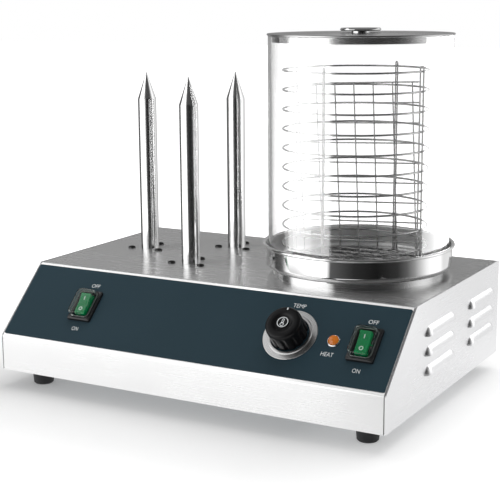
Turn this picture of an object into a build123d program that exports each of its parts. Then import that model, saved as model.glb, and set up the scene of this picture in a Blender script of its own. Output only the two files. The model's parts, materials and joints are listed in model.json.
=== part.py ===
from build123d import *
import math
import os

# Hot dog steamer: a folded stainless housing with a sloped control panel, three heated
# spikes for rolls, and a glass steam cylinder that stands in a water bowl.
# Millimetres and degrees. The origin is on the table, below the middle of the housing.
# +X is to the right, -Y is the front and +Z is up.

# Housing
housing_width = 470.0
housing_depth = 330.0
housing_height = 110.0
front_height = 39.0
slope_run = 75.0
sheet = 1.2
fold_radius = 3.0
least_fold_radius = 0.3
flange_width = 12.0
seam = 0.4
rear_lip = 14.0
panel_edge_gap = 4.0
bottom_lip = 12.0

# Base plate and feet
base_sheet = 1.5
base_inset = 6.0
base_front_inset = 5.0
vent_length = 46.0
vent_width = 4.0
vent_pitch = 12.0
vent_count = 6
vent_bank_offset = 105.0
foot_height = 18.5
foot_inset = 32.5
foot_radius = 12.75
foot_taper = 1.5
foot_edge = 1.5
foot_recess_radius = 5.5
foot_recess_depth = 9.0

# Side louvres
louvre_length = 82.0
louvre_height = 10.0
louvre_depth = 4.8
louvre_wall = 1.0
louvre_rows = 3
louvre_row_pitch = 20.7
louvre_lowest = 32.2
louvre_columns = (-24.3, 103.7)
louvre_outer_bulge = (0.74, 0.62)
louvre_inner_bulge = (0.66, 0.62)

# Control panel
overlay_thickness = 0.8
overlay_side_margin = 3.0
overlay_edge_margin = 3.9
overlay_corner = 1.5
left_switch_inset = 92.3
right_switch_inset = 38.5
knob_inset = 121.6
lamp_inset = 72.7

# Rocker switches with splash covers
switch_cutout_width = 22.2
switch_cutout_length = 30.2
switch_body_depth = 24.0
switch_cutout_clearance = 0.15
switch_flange_width = 24.8
switch_flange_length = 33.0
switch_flange_height = 2.0
switch_well_depth = 6.0
blade_width = 6.3
blade_thickness = 0.8
blade_length = 9.0
blade_root = 1.0
blade_spacing_x = 9.0
blade_spacing_y = 14.0
bezel_width = 29.5
bezel_length = 39.0
bezel_base_height = 3.6
bezel_height = 8.6
bezel_collar_width = 26.0
bezel_collar_length = 35.5
bezel_collar_corner = 6.0
bezel_edge = 0.8
bezel_foot_edge = 0.6
bezel_window_width = 19.4
bezel_window_length = 31.4
bezel_window_corner = 4.5
cover_clearance = 0.2
cover_height = 12.4
cover_top_width = 15.6
cover_top_length = 29.0
cover_wall = 0.8
rocker_width = 12.8
rocker_length = 25.0
rocker_clearance = 0.4
rocker_crown = 9.2
rocker_dish = 1.1
rocker_depth = 4.2
rocker_end_rise = 0.22
rocker_side_height = 1.5
rocker_foot_share = 0.62
rocker_pivot_height = 2.2
rocker_pin_radius = 1.25
rocker_pin_length = 1.2
rocker_half_throw = 7.0
pin_clearance = 0.05

# Thermostat, dial ring and knob
dial_radius = 29.5
dial_height = 1.0
dial_bead_radius = 23.2
dial_bead_height = 2.0
dial_bore_radius = 20.8
dial_edge = 0.4
dial_bead_slope = 0.6
knob_radius = 19.8
knob_top_radius = 19.2
knob_height = 24.6
knob_gap = 1.8
knob_edge = 2.2
knob_dish_radius = 10.5
knob_dish_depth = 1.4
knob_dish_bend = 2.2
knob_wall = 3.0
knob_cavity_depth = 9.0
knob_hub_radius = 6.0
knob_flutes = 12
knob_flute_radius = 2.6
knob_flute_depth = 1.3
knob_flute_height = 14.0
pointer_radius = 0.9
pointer_height = 0.5
pointer_margin = 0.5
knob_cap_radius = 6.5
knob_cap_height = 1.1
knob_cap_edge = 0.4
knob_cap_gap = 0.2
shaft_radius = 3.0
shaft_hole_radius = 5.0
shaft_socket = 14.0
shaft_flat_length = 12.0
thermostat_width = 42.0
thermostat_length = 34.0
thermostat_depth = 30.0
thermostat_corner = 3.0
thermostat_thread_depth = 5.0
thermostat_boss_radius = 4.6
thermostat_boss_height = 1.6
thermostat_screw_spacing = 28.0
thermostat_bore_depth = 8.0
thermostat_screw_reach = 4.0
capillary_radius = 1.0
bulb_radius = 3.0
bulb_length = 70.0
capillary_lead = 12.0
capillary_run_in = 24.0
capillary_bend = 8.0

# Pilot lamp
lamp_radius = 7.0
lamp_bezel_height = 1.8
lamp_bezel_slope = 0.7
lamp_seat = 0.6
lamp_lens_gap = 0.1
lamp_lens_radius = 5.7
lamp_lens_height = 4.6
lamp_lens_top_radius = 3.1
lamp_facets = 8
lamp_neck_radius = 4.8
lamp_neck_wall = 0.8
lamp_depth = 22.0
lamp_body_radius = 6.0
lamp_blade_width = 2.8
lamp_blade_length = 6.0
lamp_blade_offset = 2.6

# Heating well and water bowl
stack_side_margin = 16.5
stack_y = 33.0
collar_inset = 8.7
collar_wall = 1.5
collar_height = 7.5
collar_flange = 9.0
bowl_radius = 103.5
bowl_wall = 1.0
bowl_depth = 27.8
bowl_corner = 7.0
rim_bead_radius = 1.9
well_clearance = 1.0
well_depth = 33.0
well_corner = 5.0
heater_margin = 14.3
heater_height = 11.0
heater_gap = 0.3
heater_edge = 2.0
heater_terminal_radius = 2.5
heater_terminal_length = 9.0
heater_terminal_root = 4.0
heater_terminal_spacing = 20.0
bracket_width = 26.0
bracket_thickness = 2.0
bracket_pad_width = 6.0
bracket_pad_length = 14.0
bracket_end_inset = 15.0

# Perforated steam plate
plate_thickness = 1.0
plate_edge_clearance = 2.3
plate_hole_radius = 3.2
plate_hole_pitch = 12.6
plate_hole_sides = 8
plate_hole_margin = 2.0
plate_foot_radius = 1.6
plate_foot_count = 3
seat_gap = 0.3

# Glass, basket and lid
glass_rim_gap = 3.5
glass_wall = 3.0
glass_height = 250.0
glass_edge = 0.8
basket_offset_x = -3.9
basket_offset_y = -1.9
basket_glass_gap = 20.6
basket_wire = 2.5
basket_rings = 11
basket_ring_pitch = 21.15
basket_stay_angles = (-6.0, 79.0, 174.0, 270.0)
basket_loop_rise = 5.0
basket_floor_wires = 7
basket_floor_pitch = 21.0
divider_wire = 1.6
divider_side_gap = 27.4
divider_columns = 7
divider_rows = 9
divider_foot = 18.5
divider_overhang = 7.0
divider_offset_x = 3.4
divider_turn = 5.4
divider_lean = 1.8
divider_tip = 2.2
weld_sink = 0.3
lid_overhang = 1.2
lid_sheet = 1.0
lid_hem_height = 1.8
lid_hem_width = 1.8
lid_edge = 0.5
lid_dome = 0.8
lid_flat_margin = 2.0
lid_skirt_clearance = 1.2
lid_skirt_depth = 7.0
lid_knob_radius = 22.5
lid_knob_neck_radius = 10.0
lid_knob_neck_height = 1.6
lid_knob_height = 4.9
lid_knob_lip = 0.6
lid_knob_lip_slope = 1.0
lid_knob_edge = 1.4
lid_knob_dish = 1.0
lid_knob_dish_edge = 0.7
lid_screw_radius = 2.5
lid_screw_head_radius = 4.5
lid_screw_head_height = 2.5
lid_screw_head_edge = 1.0
lid_screw_length = 4.6

# Heated spikes
spike_group_inset = 128.5
spike_group_y = 39.8
spike_group_radius = 61.5
spike_names = ("rear", "left", "front")
spike_radius = 11.0
spike_length = 214.6
spike_cone_length = 32.0
spike_tip_radius = 0.6
spike_spigot_radius = 8.5
spike_spigot_length = 6.0
spike_bore_radius = 5.1
spike_bore_length = 160.0
cartridge_radius = 5.0
cartridge_length = 150.0
cartridge_tail = 12.0
cartridge_edge = 1.0
flange_radius = 28.0
flange_thickness = 3.0
spike_screw_circle = 22.5
spike_screw_count = 3
spike_screw_reach = 2.0

# Fasteners and mains entry
screw_radius = 2.0
screw_head_radius = 3.7
screw_head_height = 1.9
screw_hole_clearance = 0.25
nut_radius = 4.0
nut_height = 3.2
rear_screw_inset = 18.0
rear_screw_drop = 45.0
rear_screw_height = 8.0
bushing_radius = 11.0
bushing_neck_radius = 7.8
bushing_bore_radius = 4.5
bushing_proud = 5.0
bushing_rim = 2.0
bushing_slope = 2.5
bushing_nut_height = 5.0
cord_entry_inset = 85.0
cord_entry_height = 28.0
terminal_width = 46.0
terminal_depth = 20.0
terminal_height = 16.0
terminal_ways = 4
terminal_way_radius = 2.4
terminal_way_depth = 5.0
terminal_offset_x = 45.0
terminal_inset = 70.0
earth_stud_length = 14.0
earth_washer_radius = 5.0
earth_washer_height = 1.0
earth_offset_x = 50.0
earth_inset = 42.0

# Heights and planes that the pieces share
housing_bottom = foot_height + base_sheet
housing_top = housing_bottom + housing_height
half_width = housing_width / 2
half_depth = housing_depth / 2
left_switch_x = -half_width + left_switch_inset
right_switch_x = half_width - right_switch_inset
knob_x = half_width - knob_inset
lamp_x = half_width - lamp_inset
cord_entry_x = half_width - cord_entry_inset
spike_group_x = -half_width + spike_group_inset
slope_rise = housing_height - front_height
slope_angle = math.degrees(math.atan2(slope_rise, slope_run))
slope_length = math.hypot(slope_run, slope_rise)
slope_out = (0.0, -math.sin(math.radians(slope_angle)), math.cos(math.radians(slope_angle)))
slope_middle = (0.0, -half_depth + slope_run / 2, housing_bottom + front_height + slope_rise / 2)
panel = Plane(origin=slope_middle, x_dir=(1, 0, 0), z_dir=slope_out)
panel_face = overlay_thickness

stack_x = half_width - stack_side_margin - bowl_radius
collar_radius = bowl_radius - collar_inset
collar_top = housing_top + collar_height
collar_bore = collar_radius - collar_wall
well_radius = collar_bore - well_clearance
heater_radius = well_radius - heater_margin
shoulder = collar_top + bowl_wall
well_floor = collar_top - well_depth
bowl_bore = bowl_radius - bowl_wall
inner_corner = bowl_corner - bowl_wall
plate_radius = bowl_bore - plate_edge_clearance
corner_reach = plate_radius - (bowl_bore - inner_corner)
plate_lift = inner_corner - math.sqrt(inner_corner ** 2 - corner_reach ** 2) + seat_gap
plate_bottom = shoulder + plate_lift
plate_top = plate_bottom + plate_thickness
glass_top = plate_top + glass_height
glass_radius = bowl_radius - glass_rim_gap
glass_bore = glass_radius - glass_wall
basket_radius = glass_radius - basket_glass_gap
divider_mesh = (2 * basket_radius - divider_side_gap) / (divider_columns - 1)
basket_bottom = plate_top + seat_gap
basket_floor_top = basket_bottom + basket_wire
lid_top = glass_top + lid_hem_height
stack = Pos(stack_x, stack_y, 0)
basket_place = Pos(basket_offset_x, basket_offset_y, 0)


def turned(*points):
    """A solid of revolution about Z from (radius, height) points."""
    return revolve(Plane.XZ * make_face(Polyline(*points, close=True)), Axis.Z)


def disc(radius, bottom, height):
    return Pos(0, 0, bottom) * Cylinder(radius, height, align=(Align.CENTER, Align.CENTER, Align.MIN))


def block(width, length, height, bottom):
    return Pos(0, 0, bottom) * Box(width, length, height, align=(Align.CENTER, Align.CENTER, Align.MIN))


def rounded_block(width, length, corner, height, bottom):
    return extrude(Pos(0, 0, bottom) * RectangleRounded(width, length, corner), height)


def on_circle(radius, angle):
    return Pos(radius * math.cos(math.radians(angle)), radius * math.sin(math.radians(angle)), 0)


def screw(length):
    """A pan-head screw whose head sits on Z = 0 and whose shank hangs below."""
    head = disc(screw_head_radius, 0, screw_head_height)
    head = chamfer(head.edges().sort_by(Axis.Z)[-1], screw_head_height / 2)
    return head + disc(screw_radius, -length, length)


def side_outline(inset, rear_inset):
    """The housing seen from its side, drawn in (Y, Z) and moved in by the insets."""
    half_slope = math.radians(slope_angle) / 2
    half_fold = math.radians(90 - slope_angle) / 2
    low = housing_bottom + inset
    high = housing_top - inset
    front = -half_depth + inset
    rear = half_depth - rear_inset
    fold = housing_bottom + front_height - inset * math.tan(half_fold)
    crest = -half_depth + slope_run + inset * math.tan(half_slope)
    outline = Polyline((front, low), (front, fold), (crest, high), (rear, high), (rear, low), close=True)
    shape = make_face(outline)
    folds = shape.vertices().filter_by_position(Axis.Y, low + 1, high + 1)
    return fillet(folds, max(fold_radius - inset, least_fold_radius))


def across(shape, width):
    """The side outline drawn out along X, centred."""
    return extrude(Plane.YZ * shape, width / 2, both=True)


# Housing ------------------------------------------------------------------------------


def switch_cutout():
    return block(switch_cutout_width, switch_cutout_length, 2 * fold_radius, -fold_radius)


def panel_holes(shape, screw_opening):
    """Cut the openings for the switches, the thermostat, its screws and the lamp."""
    for x in (left_switch_x, right_switch_x):
        shape -= panel * Pos(x, 0, 0) * switch_cutout()
    shape -= panel * Pos(knob_x, 0, 0) * disc(shaft_hole_radius, -fold_radius, 2 * fold_radius)
    lamp_opening = lamp_neck_radius + screw_hole_clearance
    shape -= panel * Pos(lamp_x, 0, 0) * disc(lamp_opening, -fold_radius, 2 * fold_radius)
    for side in (-1, 1):
        spot = Pos(knob_x + side * thermostat_screw_spacing / 2, 0, 0)
        shape -= panel * spot * disc(screw_opening, -fold_radius, 2 * fold_radius)
    return shape


def housing_wrap():
    """Front, control slope and top, folded from one sheet, with a lip below and behind."""
    width = housing_width - 2 * (sheet + seam)
    rear = half_depth - sheet
    skin = across(side_outline(0, sheet) - side_outline(sheet, 2 * sheet), width)
    opening_front = -half_depth + bottom_lip
    under = Box(width, rear - opening_front, 2 * sheet, align=(Align.CENTER, Align.MIN, Align.MIN))
    behind = Box(width, 2 * sheet, housing_height - rear_lip, align=(Align.CENTER, Align.MAX, Align.MIN))
    skin -= Pos(0, opening_front, housing_bottom) * under
    skin -= Pos(0, rear, housing_bottom) * behind
    lip_cut = 2 * (sheet + flange_width)
    lip_end = Box(lip_cut, bottom_lip, 3 * sheet, align=(Align.CENTER, Align.MIN, Align.CENTER))
    for side in (-1, 1):
        skin -= Pos(side * width / 2, -half_depth + sheet, housing_bottom) * lip_end
    for spot in rear_screw_spots():
        skin -= spot * thread_hole()
    skin = panel_holes(skin, screw_radius + screw_hole_clearance)
    skin -= stack * disc(collar_radius, housing_top - 2 * sheet, 3 * sheet)
    for spot in spike_spots().values():
        skin -= spot * disc(spike_spigot_radius + screw_hole_clearance, housing_top - 2 * sheet, 3 * sheet)
        for place in spike_screw_places():
            hole = disc(screw_radius + screw_hole_clearance, housing_top - 2 * sheet, 3 * sheet)
            skin -= spot * place * hole
    return skin


def louvre_form(points, middle):
    """A pressed louvre's form: its section (outward, up) drawn along Y, with round ends."""
    straight = louvre_length - 2 * louvre_height
    foot, lip, top, root = points
    edge = [Line(foot, lip), ThreePointArc(lip, middle, top), Line(top, root), Line(root, foot)]
    section = Plane.XZ * make_face(edge)
    form = extrude(section, straight / 2, both=True)
    for side in (-1, 1):
        end = Pos(0, side * straight / 2, 0) * revolve(section, Axis.X, side * -90)
        form += end
    return form


def louvre():
    """The outer form and the hollow under it. The mouth opens downwards along Z = 0."""
    reach = louvre_depth - louvre_wall
    rise = louvre_height - louvre_wall
    outer_middle = (louvre_outer_bulge[0] * louvre_depth, louvre_outer_bulge[1] * louvre_height)
    inner_middle = (louvre_inner_bulge[0] * reach, louvre_inner_bulge[1] * rise)
    outer = [(-sheet, 0), (louvre_depth, 0), (0, louvre_height), (-sheet, louvre_height)]
    inner = [(-2 * sheet, 0), (reach, 0), (-sheet, rise), (-2 * sheet, rise)]
    return louvre_form(outer, outer_middle), louvre_form(inner, inner_middle)


def right_side_panel():
    """A flat side with three rows of louvres and flanges turned in behind the wrap."""
    face = extrude(Plane.YZ * side_outline(0, 0), sheet)
    inner = side_outline(2 * sheet, 2 * sheet)
    flange = extrude(Plane.YZ * (side_outline(sheet, sheet) - inner), -flange_width)
    low_length = housing_depth - 4 * sheet
    low = Box(flange_width, low_length, 5 * sheet, align=(Align.MAX, Align.CENTER, Align.CENTER))
    flange -= Pos(0, 0, housing_bottom) * low
    lip_height = 2 * (rear_lip + seam)
    lip = Box(flange_width, 2 * fold_radius, lip_height, align=(Align.MAX, Align.CENTER, Align.CENTER))
    flange -= Pos(0, half_depth - sheet, housing_top) * lip
    strip_length = housing_depth - 6 * sheet
    foot_strip = Box(flange_width, strip_length, sheet, align=(Align.MAX, Align.CENTER, Align.MIN))
    flange += Pos(0, 0, housing_bottom) * foot_strip
    side = Pos(half_width - sheet, 0, 0) * (face + flange)
    outer, hollow = louvre()
    for y in louvre_columns:
        for row in range(louvre_rows):
            spot = Pos(half_width, y, housing_bottom + louvre_lowest + row * louvre_row_pitch)
            side = side + spot * outer - spot * hollow
    for spot in rear_screw_spots() + base_screw_spots():
        side -= spot * thread_hole()
    return side


def rear_screw_spots():
    """Rear panel screws: three along the top lip and two in each side flange."""
    high = housing_top - rear_screw_height
    middle = high - rear_screw_drop
    low = housing_bottom + rear_screw_inset
    edge = half_width - sheet - flange_width / 2
    places = [(-edge + rear_screw_inset, high), (0, high), (edge - rear_screw_inset, high)]
    places += [(-edge, low), (edge, low), (-edge, middle), (edge, middle)]
    return [Pos(x, half_depth, z) * Rot(-90, 0, 0) for x, z in places]


def screw_hole():
    return disc(screw_radius + screw_hole_clearance, -5 * sheet, 6 * sheet)


def thread_hole():
    return disc(screw_radius, -5 * sheet, 6 * sheet)


def rear_panel():
    """The flat service panel, with the hole for the cord bushing."""
    width = housing_width - 2 * (sheet + seam)
    height = housing_height - panel_edge_gap
    back = Box(width, sheet, height, align=(Align.CENTER, Align.MIN, Align.MIN))
    back = Pos(0, half_depth - sheet, housing_bottom) * back
    back -= cord_entry() * disc(bushing_neck_radius + screw_hole_clearance, -5 * sheet, 10 * sheet)
    for spot in rear_screw_spots():
        back -= spot * screw_hole()
    return back


def foot_spots():
    x = half_width - foot_inset
    y = half_depth - foot_inset
    return {
        "front_left": Pos(-x, -y, 0),
        "front_right": Pos(x, -y, 0),
        "rear_left": Pos(-x, y, 0),
        "rear_right": Pos(x, y, 0),
    }


def base_screw_spots():
    x = half_width - sheet - flange_width / 2
    y = half_depth / 2
    corners = [(-x, -y), (-x, y), (x, -y), (x, y)]
    return [Pos(*corner, foot_height) * Rot(180, 0, 0) for corner in corners]


def base_plate():
    """The bottom sheet with two banks of vent slots."""
    width = housing_width - 2 * base_inset
    depth = housing_depth - base_front_inset - 2 * sheet
    plate = Pos(0, -half_depth + base_front_inset, foot_height)
    plate = plate * Box(width, depth, base_sheet, align=(Align.CENTER, Align.MIN, Align.MIN))
    slot = extrude(SlotOverall(vent_length, vent_width, rotation=90), base_sheet)
    for side in (-1, 1):
        for n in range(vent_count):
            x = side * vent_bank_offset + (n - (vent_count - 1) / 2) * vent_pitch
            plate -= Pos(x, 0, foot_height) * slot
    for spot in foot_spots().values():
        plate -= spot * disc(screw_radius + screw_hole_clearance, foot_height, base_sheet)
    for spot in base_screw_spots():
        plate -= spot * screw_hole()
    return plate


def foot():
    """A tapered rubber foot with a recess for its screw."""
    low = foot_radius - foot_taper
    bore = screw_radius + screw_hole_clearance
    edge = foot_edge
    return turned(
        (foot_recess_radius, 0), (low - edge, 0), (low, edge), (foot_radius, foot_height),
        (bore, foot_height), (bore, foot_recess_depth), (foot_recess_radius, foot_recess_depth),
    )


def foot_screw():
    length = foot_height - foot_recess_depth + base_sheet + nut_height
    return Pos(0, 0, foot_recess_depth) * Rot(180, 0, 0) * screw(length)


def hex_nut(bottom):
    nut = extrude(Pos(0, 0, bottom) * RegularPolygon(nut_radius, 6), nut_height)
    return nut - disc(screw_radius, bottom, nut_height)


# Control panel ------------------------------------------------------------------------


def control_overlay():
    width = housing_width - 2 * overlay_side_margin
    length = slope_length - 2 * overlay_edge_margin
    overlay = panel * rounded_block(width, length, overlay_corner, overlay_thickness, 0)
    return panel_holes(overlay, screw_head_radius + screw_hole_clearance)


def switch_body():
    """The switch's housing: its flange, a well for the rocker and four blades behind."""
    width = switch_cutout_width - 2 * switch_cutout_clearance
    length = switch_cutout_length - 2 * switch_cutout_clearance
    body = block(width, length, switch_body_depth + panel_face, -switch_body_depth)
    body += block(switch_flange_width, switch_flange_length, switch_flange_height, panel_face)
    well_width = rocker_width + 2 * rocker_clearance
    well_length = rocker_length + 4 * rocker_clearance
    body -= block(well_width, well_length, switch_well_depth + 4 * sheet, -switch_well_depth)
    pin_reach = well_width + 2 * rocker_pin_length
    bore = Rot(0, 90, 0) * Cylinder(rocker_pin_radius + pin_clearance, pin_reach)
    body -= Pos(0, 0, rocker_pivot_height) * bore
    tip = -switch_body_depth - blade_length
    blade = block(blade_thickness, blade_width, blade_length + blade_root, tip)
    for side_x in (-1, 1):
        for side_y in (-1, 1):
            body += Pos(side_x * blade_spacing_x / 2, side_y * blade_spacing_y / 2, 0) * blade
    return body


def switch_bezel():
    """The black splash frame: a square foot with a rounded collar round the cover."""
    width = bezel_collar_width
    length = bezel_collar_length
    collar = rounded_block(width, length, bezel_collar_corner, bezel_height, panel_face)
    collar = chamfer(collar.faces().sort_by(Axis.Z)[-1].edges(), bezel_edge)
    base = rounded_block(bezel_width, bezel_length, overlay_corner, bezel_base_height, panel_face)
    base = chamfer(base.faces().sort_by(Axis.Z)[-1].edges(), bezel_foot_edge)
    frame = base + collar
    seat = panel_face + switch_flange_height
    window = rounded_block(bezel_window_width, bezel_window_length, bezel_window_corner, bezel_height, seat)
    pocket_width = switch_flange_width + cover_clearance
    pocket_length = switch_flange_length + cover_clearance
    pocket = block(pocket_width, pocket_length, switch_flange_height, panel_face)
    return frame - window - pocket


def cover_form(inset, bottom, top):
    """The splash cover's form: upright below, drawn in towards its flat top."""
    width = bezel_window_width - 2 * cover_clearance - 2 * inset
    length = bezel_window_length - 2 * cover_clearance - 2 * inset
    corner = bezel_window_corner - inset
    knee = panel_face + bezel_height
    upright = rounded_block(width, length, corner, knee - bottom, bottom)
    lower = Pos(0, 0, knee) * RectangleRounded(width, length, corner)
    top_width = cover_top_width - 2 * inset
    top_length = cover_top_length - 2 * inset
    upper = Pos(0, 0, top) * RectangleRounded(top_width, top_length, corner)
    return upright + loft([lower, upper])


def splash_cover():
    bottom = panel_face + switch_flange_height
    top = panel_face + cover_height
    return cover_form(0, bottom, top) - cover_form(cover_wall, bottom, top - cover_wall)


def rocker():
    """The rocker with its two pins, at rest with its lower end pressed in."""
    half = rocker_length / 2
    side = rocker_side_height
    end = rocker_crown + rocker_end_rise
    foot_half = half * rocker_foot_share
    edge = [
        Line((-foot_half, -rocker_depth), (-half, side)),
        Line((-half, side), (-half, end)),
        ThreePointArc((-half, end), (0, rocker_crown - rocker_dish), (half, end)),
        Line((half, end), (half, side)),
        Line((half, side), (foot_half, -rocker_depth)),
        Line((foot_half, -rocker_depth), (-foot_half, -rocker_depth)),
    ]
    key = extrude(Plane.YZ * make_face(edge), rocker_width / 2, both=True)
    pin_span = rocker_width + 2 * rocker_clearance + 2 * rocker_pin_length - 2 * pin_clearance
    pin = Rot(0, 90, 0) * Cylinder(rocker_pin_radius, pin_span)
    key = key + Pos(0, 0, rocker_pivot_height) * pin
    pivot = Pos(0, 0, rocker_pivot_height)
    return pivot * Rot(rocker_half_throw, 0, 0) * Pos(0, 0, -rocker_pivot_height) * key


def thermostat_body():
    """The thermostat's case behind the panel, with a bored nose for the shaft."""
    face = -sheet - thermostat_boss_height
    case = block(thermostat_width, thermostat_length, thermostat_depth, face - thermostat_depth)
    case = fillet(case.edges().filter_by(Axis.Z), thermostat_corner)
    rise = thermostat_boss_height
    boss = disc(thermostat_boss_radius, face, rise)
    case += boss
    for side in (-1, 1):
        spot = Pos(side * thermostat_screw_spacing / 2, 0, 0)
        thread = disc(screw_radius, face - thermostat_thread_depth, thermostat_thread_depth + rise)
        case += spot * boss
        case -= spot * thread
    bore_radius = shaft_radius + pin_clearance
    return case - disc(bore_radius, face - thermostat_bore_depth, thermostat_bore_depth + rise)


def shaft():
    """The thermostat's shaft, with a flat where the knob grips it."""
    low = -sheet - thermostat_boss_height - thermostat_bore_depth + pin_clearance
    high = panel_face + knob_gap + shaft_socket
    rod = disc(shaft_radius, low, high - low)
    flat = Pos(0, shaft_radius, high) * Box(4 * shaft_radius, shaft_radius, 2 * shaft_flat_length)
    return rod - flat


def thermostat_screw():
    return screw(sheet + thermostat_boss_height + thermostat_screw_reach)


def dial_ring():
    """A brushed ring with a raised bead round the knob."""
    base = panel_face
    high = base + dial_height
    bead = base + dial_bead_height
    return turned(
        (dial_bore_radius, base), (dial_radius, base), (dial_radius, high - dial_edge),
        (dial_radius - dial_edge, high), (dial_bead_radius, high),
        (dial_bead_radius - dial_bead_slope, bead), (dial_bore_radius, bead),
    )


def knob():
    """A hollow fluted knob with a dished face."""
    low = panel_face + knob_gap
    high = panel_face + knob_height
    taper = (knob_radius - knob_top_radius) / (high - low)
    shoulder_radius = knob_top_radius + taper * knob_edge
    cap_seat = knob_cap_radius + knob_cap_gap
    edge = [
        Line((0, low), (knob_radius, low)),
        Line((knob_radius, low), (shoulder_radius, high - knob_edge)),
        ThreePointArc(
            (shoulder_radius, high - knob_edge),
            (knob_top_radius - 0.3 * knob_edge, high - 0.3 * knob_edge),
            (knob_top_radius - knob_edge, high),
        ),
        Line((knob_top_radius - knob_edge, high), (knob_dish_radius, high)),
        ThreePointArc(
            (knob_dish_radius, high),
            (knob_dish_radius - knob_dish_bend, high - 0.9 * knob_dish_depth),
            (cap_seat, high - knob_dish_depth),
        ),
        Line((cap_seat, high - knob_dish_depth), (0, high - knob_dish_depth)),
        Line((0, high - knob_dish_depth), (0, low)),
    ]
    body = revolve(Plane.XZ * make_face(edge), Axis.Z)
    hub = disc(knob_hub_radius, low, knob_cavity_depth)
    body -= disc(knob_radius - knob_wall, low, knob_cavity_depth) - hub
    flute = disc(knob_flute_radius, low, knob_flute_height)
    reach = knob_radius + knob_flute_radius - knob_flute_depth
    for n in range(knob_flutes):
        body -= on_circle(reach, (n + 0.5) * 360 / knob_flutes) * flute
    socket = shaft() & disc(knob_radius, low, knob_height)
    body -= socket
    return body - pointer_place() * disc(pointer_radius, 0, 2 * pointer_height)


def pointer_place():
    reach = knob_top_radius - knob_edge - pointer_margin - pointer_radius
    return Pos(0, reach, panel_face + knob_height - pointer_height)


def knob_pointer():
    """The white dot let into the knob's face."""
    return pointer_place() * disc(pointer_radius, 0, pointer_height)


def knob_cap():
    """A round cap in the middle of the dish."""
    base = panel_face + knob_height - knob_dish_depth
    cap = disc(knob_cap_radius, base, knob_cap_height)
    return fillet(cap.edges().sort_by(Axis.Z)[-1], knob_cap_edge)


def capillary():
    """The thermostat's capillary tube and bulb, in three tangent runs to under the heater."""
    start = (panel * Pos(knob_x, 0, -sheet - thermostat_boss_height - thermostat_depth)).position
    bulb_z = well_floor - heater_gap - heater_height - bulb_radius
    bulb_start = (stack_x, stack_y - bulb_length / 2, bulb_z)
    inward = Vector(slope_out) * -capillary_lead
    corner = start + inward
    before = (stack_x, bulb_start[1] - capillary_run_in, bulb_z)
    path = FilletPolyline(tuple(start), tuple(corner), before, bulb_start, radius=capillary_bend)
    section = Plane(origin=tuple(start), z_dir=tuple(inward)) * Circle(capillary_radius)
    tube = sweep(section, path)
    bulb = Pos(*bulb_start) * Rot(-90, 0, 0) * disc(bulb_radius, 0, bulb_length)
    return tube + bulb


def lamp_bezel():
    """The chrome ring that clamps the lamp, with a neck through the panel."""
    base = panel_face
    seat = base + lamp_seat
    high = base + lamp_bezel_height
    neck = lamp_neck_radius
    bore = neck - lamp_neck_wall
    socket = lamp_lens_radius + lamp_lens_gap
    return turned(
        (bore, -lamp_depth / 2), (neck, -lamp_depth / 2), (neck, base), (lamp_radius, base),
        (lamp_radius, seat), (lamp_radius - lamp_bezel_slope, high), (socket, high), (socket, seat),
        (bore, seat),
    )


def lamp_lens():
    """A faceted amber lens."""
    base = panel_face + lamp_seat
    foot_ring = disc(lamp_lens_radius, base, lamp_bezel_height)
    low = Pos(0, 0, base + lamp_bezel_height) * RegularPolygon(lamp_lens_radius, lamp_facets)
    high = Pos(0, 0, base + lamp_lens_height) * RegularPolygon(lamp_lens_top_radius, lamp_facets)
    return foot_ring + loft([low, high])


def lamp_body():
    """The lamp's body behind its neck, with two blades."""
    body = disc(lamp_body_radius, -lamp_depth, lamp_depth / 2)
    length = lamp_blade_length + blade_root
    blade = block(blade_thickness, lamp_blade_width, length, -lamp_depth - lamp_blade_length)
    for side in (-1, 1):
        body += Pos(side * lamp_blade_offset, 0, 0) * blade
    return body


# Steam cylinder -----------------------------------------------------------------------


def bowl_collar():
    """The upstand ring that carries the bowl, with a flange under the top sheet."""
    under = housing_top - sheet
    outer = collar_radius + collar_flange
    return turned(
        (collar_bore, under - collar_wall), (outer, under - collar_wall), (outer, under),
        (collar_radius, under), (collar_radius, collar_top), (collar_bore, collar_top),
    )


def water_bowl():
    """A stepped bowl: a wide basin with a rolled rim over a narrower heated well."""
    rim = collar_top + bowl_depth
    basin = disc(bowl_radius, collar_top, bowl_depth - rim_bead_radius)
    basin = fillet(basin.edges().sort_by(Axis.Z)[0], bowl_corner)
    basin_hollow = disc(bowl_bore, shoulder, bowl_depth)
    basin_hollow = fillet(basin_hollow.edges().sort_by(Axis.Z)[0], inner_corner)
    well = disc(well_radius, well_floor, well_depth + bowl_wall)
    well = fillet(well.edges().sort_by(Axis.Z)[0], well_corner)
    well_hollow = disc(well_radius - bowl_wall, well_floor + bowl_wall, well_depth + bowl_wall)
    well_hollow = fillet(well_hollow.edges().sort_by(Axis.Z)[0], well_corner - bowl_wall)
    bead = Pos(0, 0, rim - rim_bead_radius) * Torus(bowl_bore + rim_bead_radius, rim_bead_radius)
    return basin + well - basin_hollow - well_hollow + bead


def bowl_heater():
    """A round plate heater under the well, with two terminal pins."""
    top = well_floor - heater_gap
    heater = disc(heater_radius, top - heater_height, heater_height)
    heater = chamfer(heater.edges().sort_by(Axis.Z)[0], heater_edge)
    pin = Rot(0, 90, 0) * disc(heater_terminal_radius, 0, heater_terminal_length + heater_terminal_root)
    for side in (-1, 1):
        y = side * heater_terminal_spacing / 2
        heater += Pos(-heater_radius - heater_terminal_length, y, top - heater_height / 2) * pin
    return heater


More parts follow.
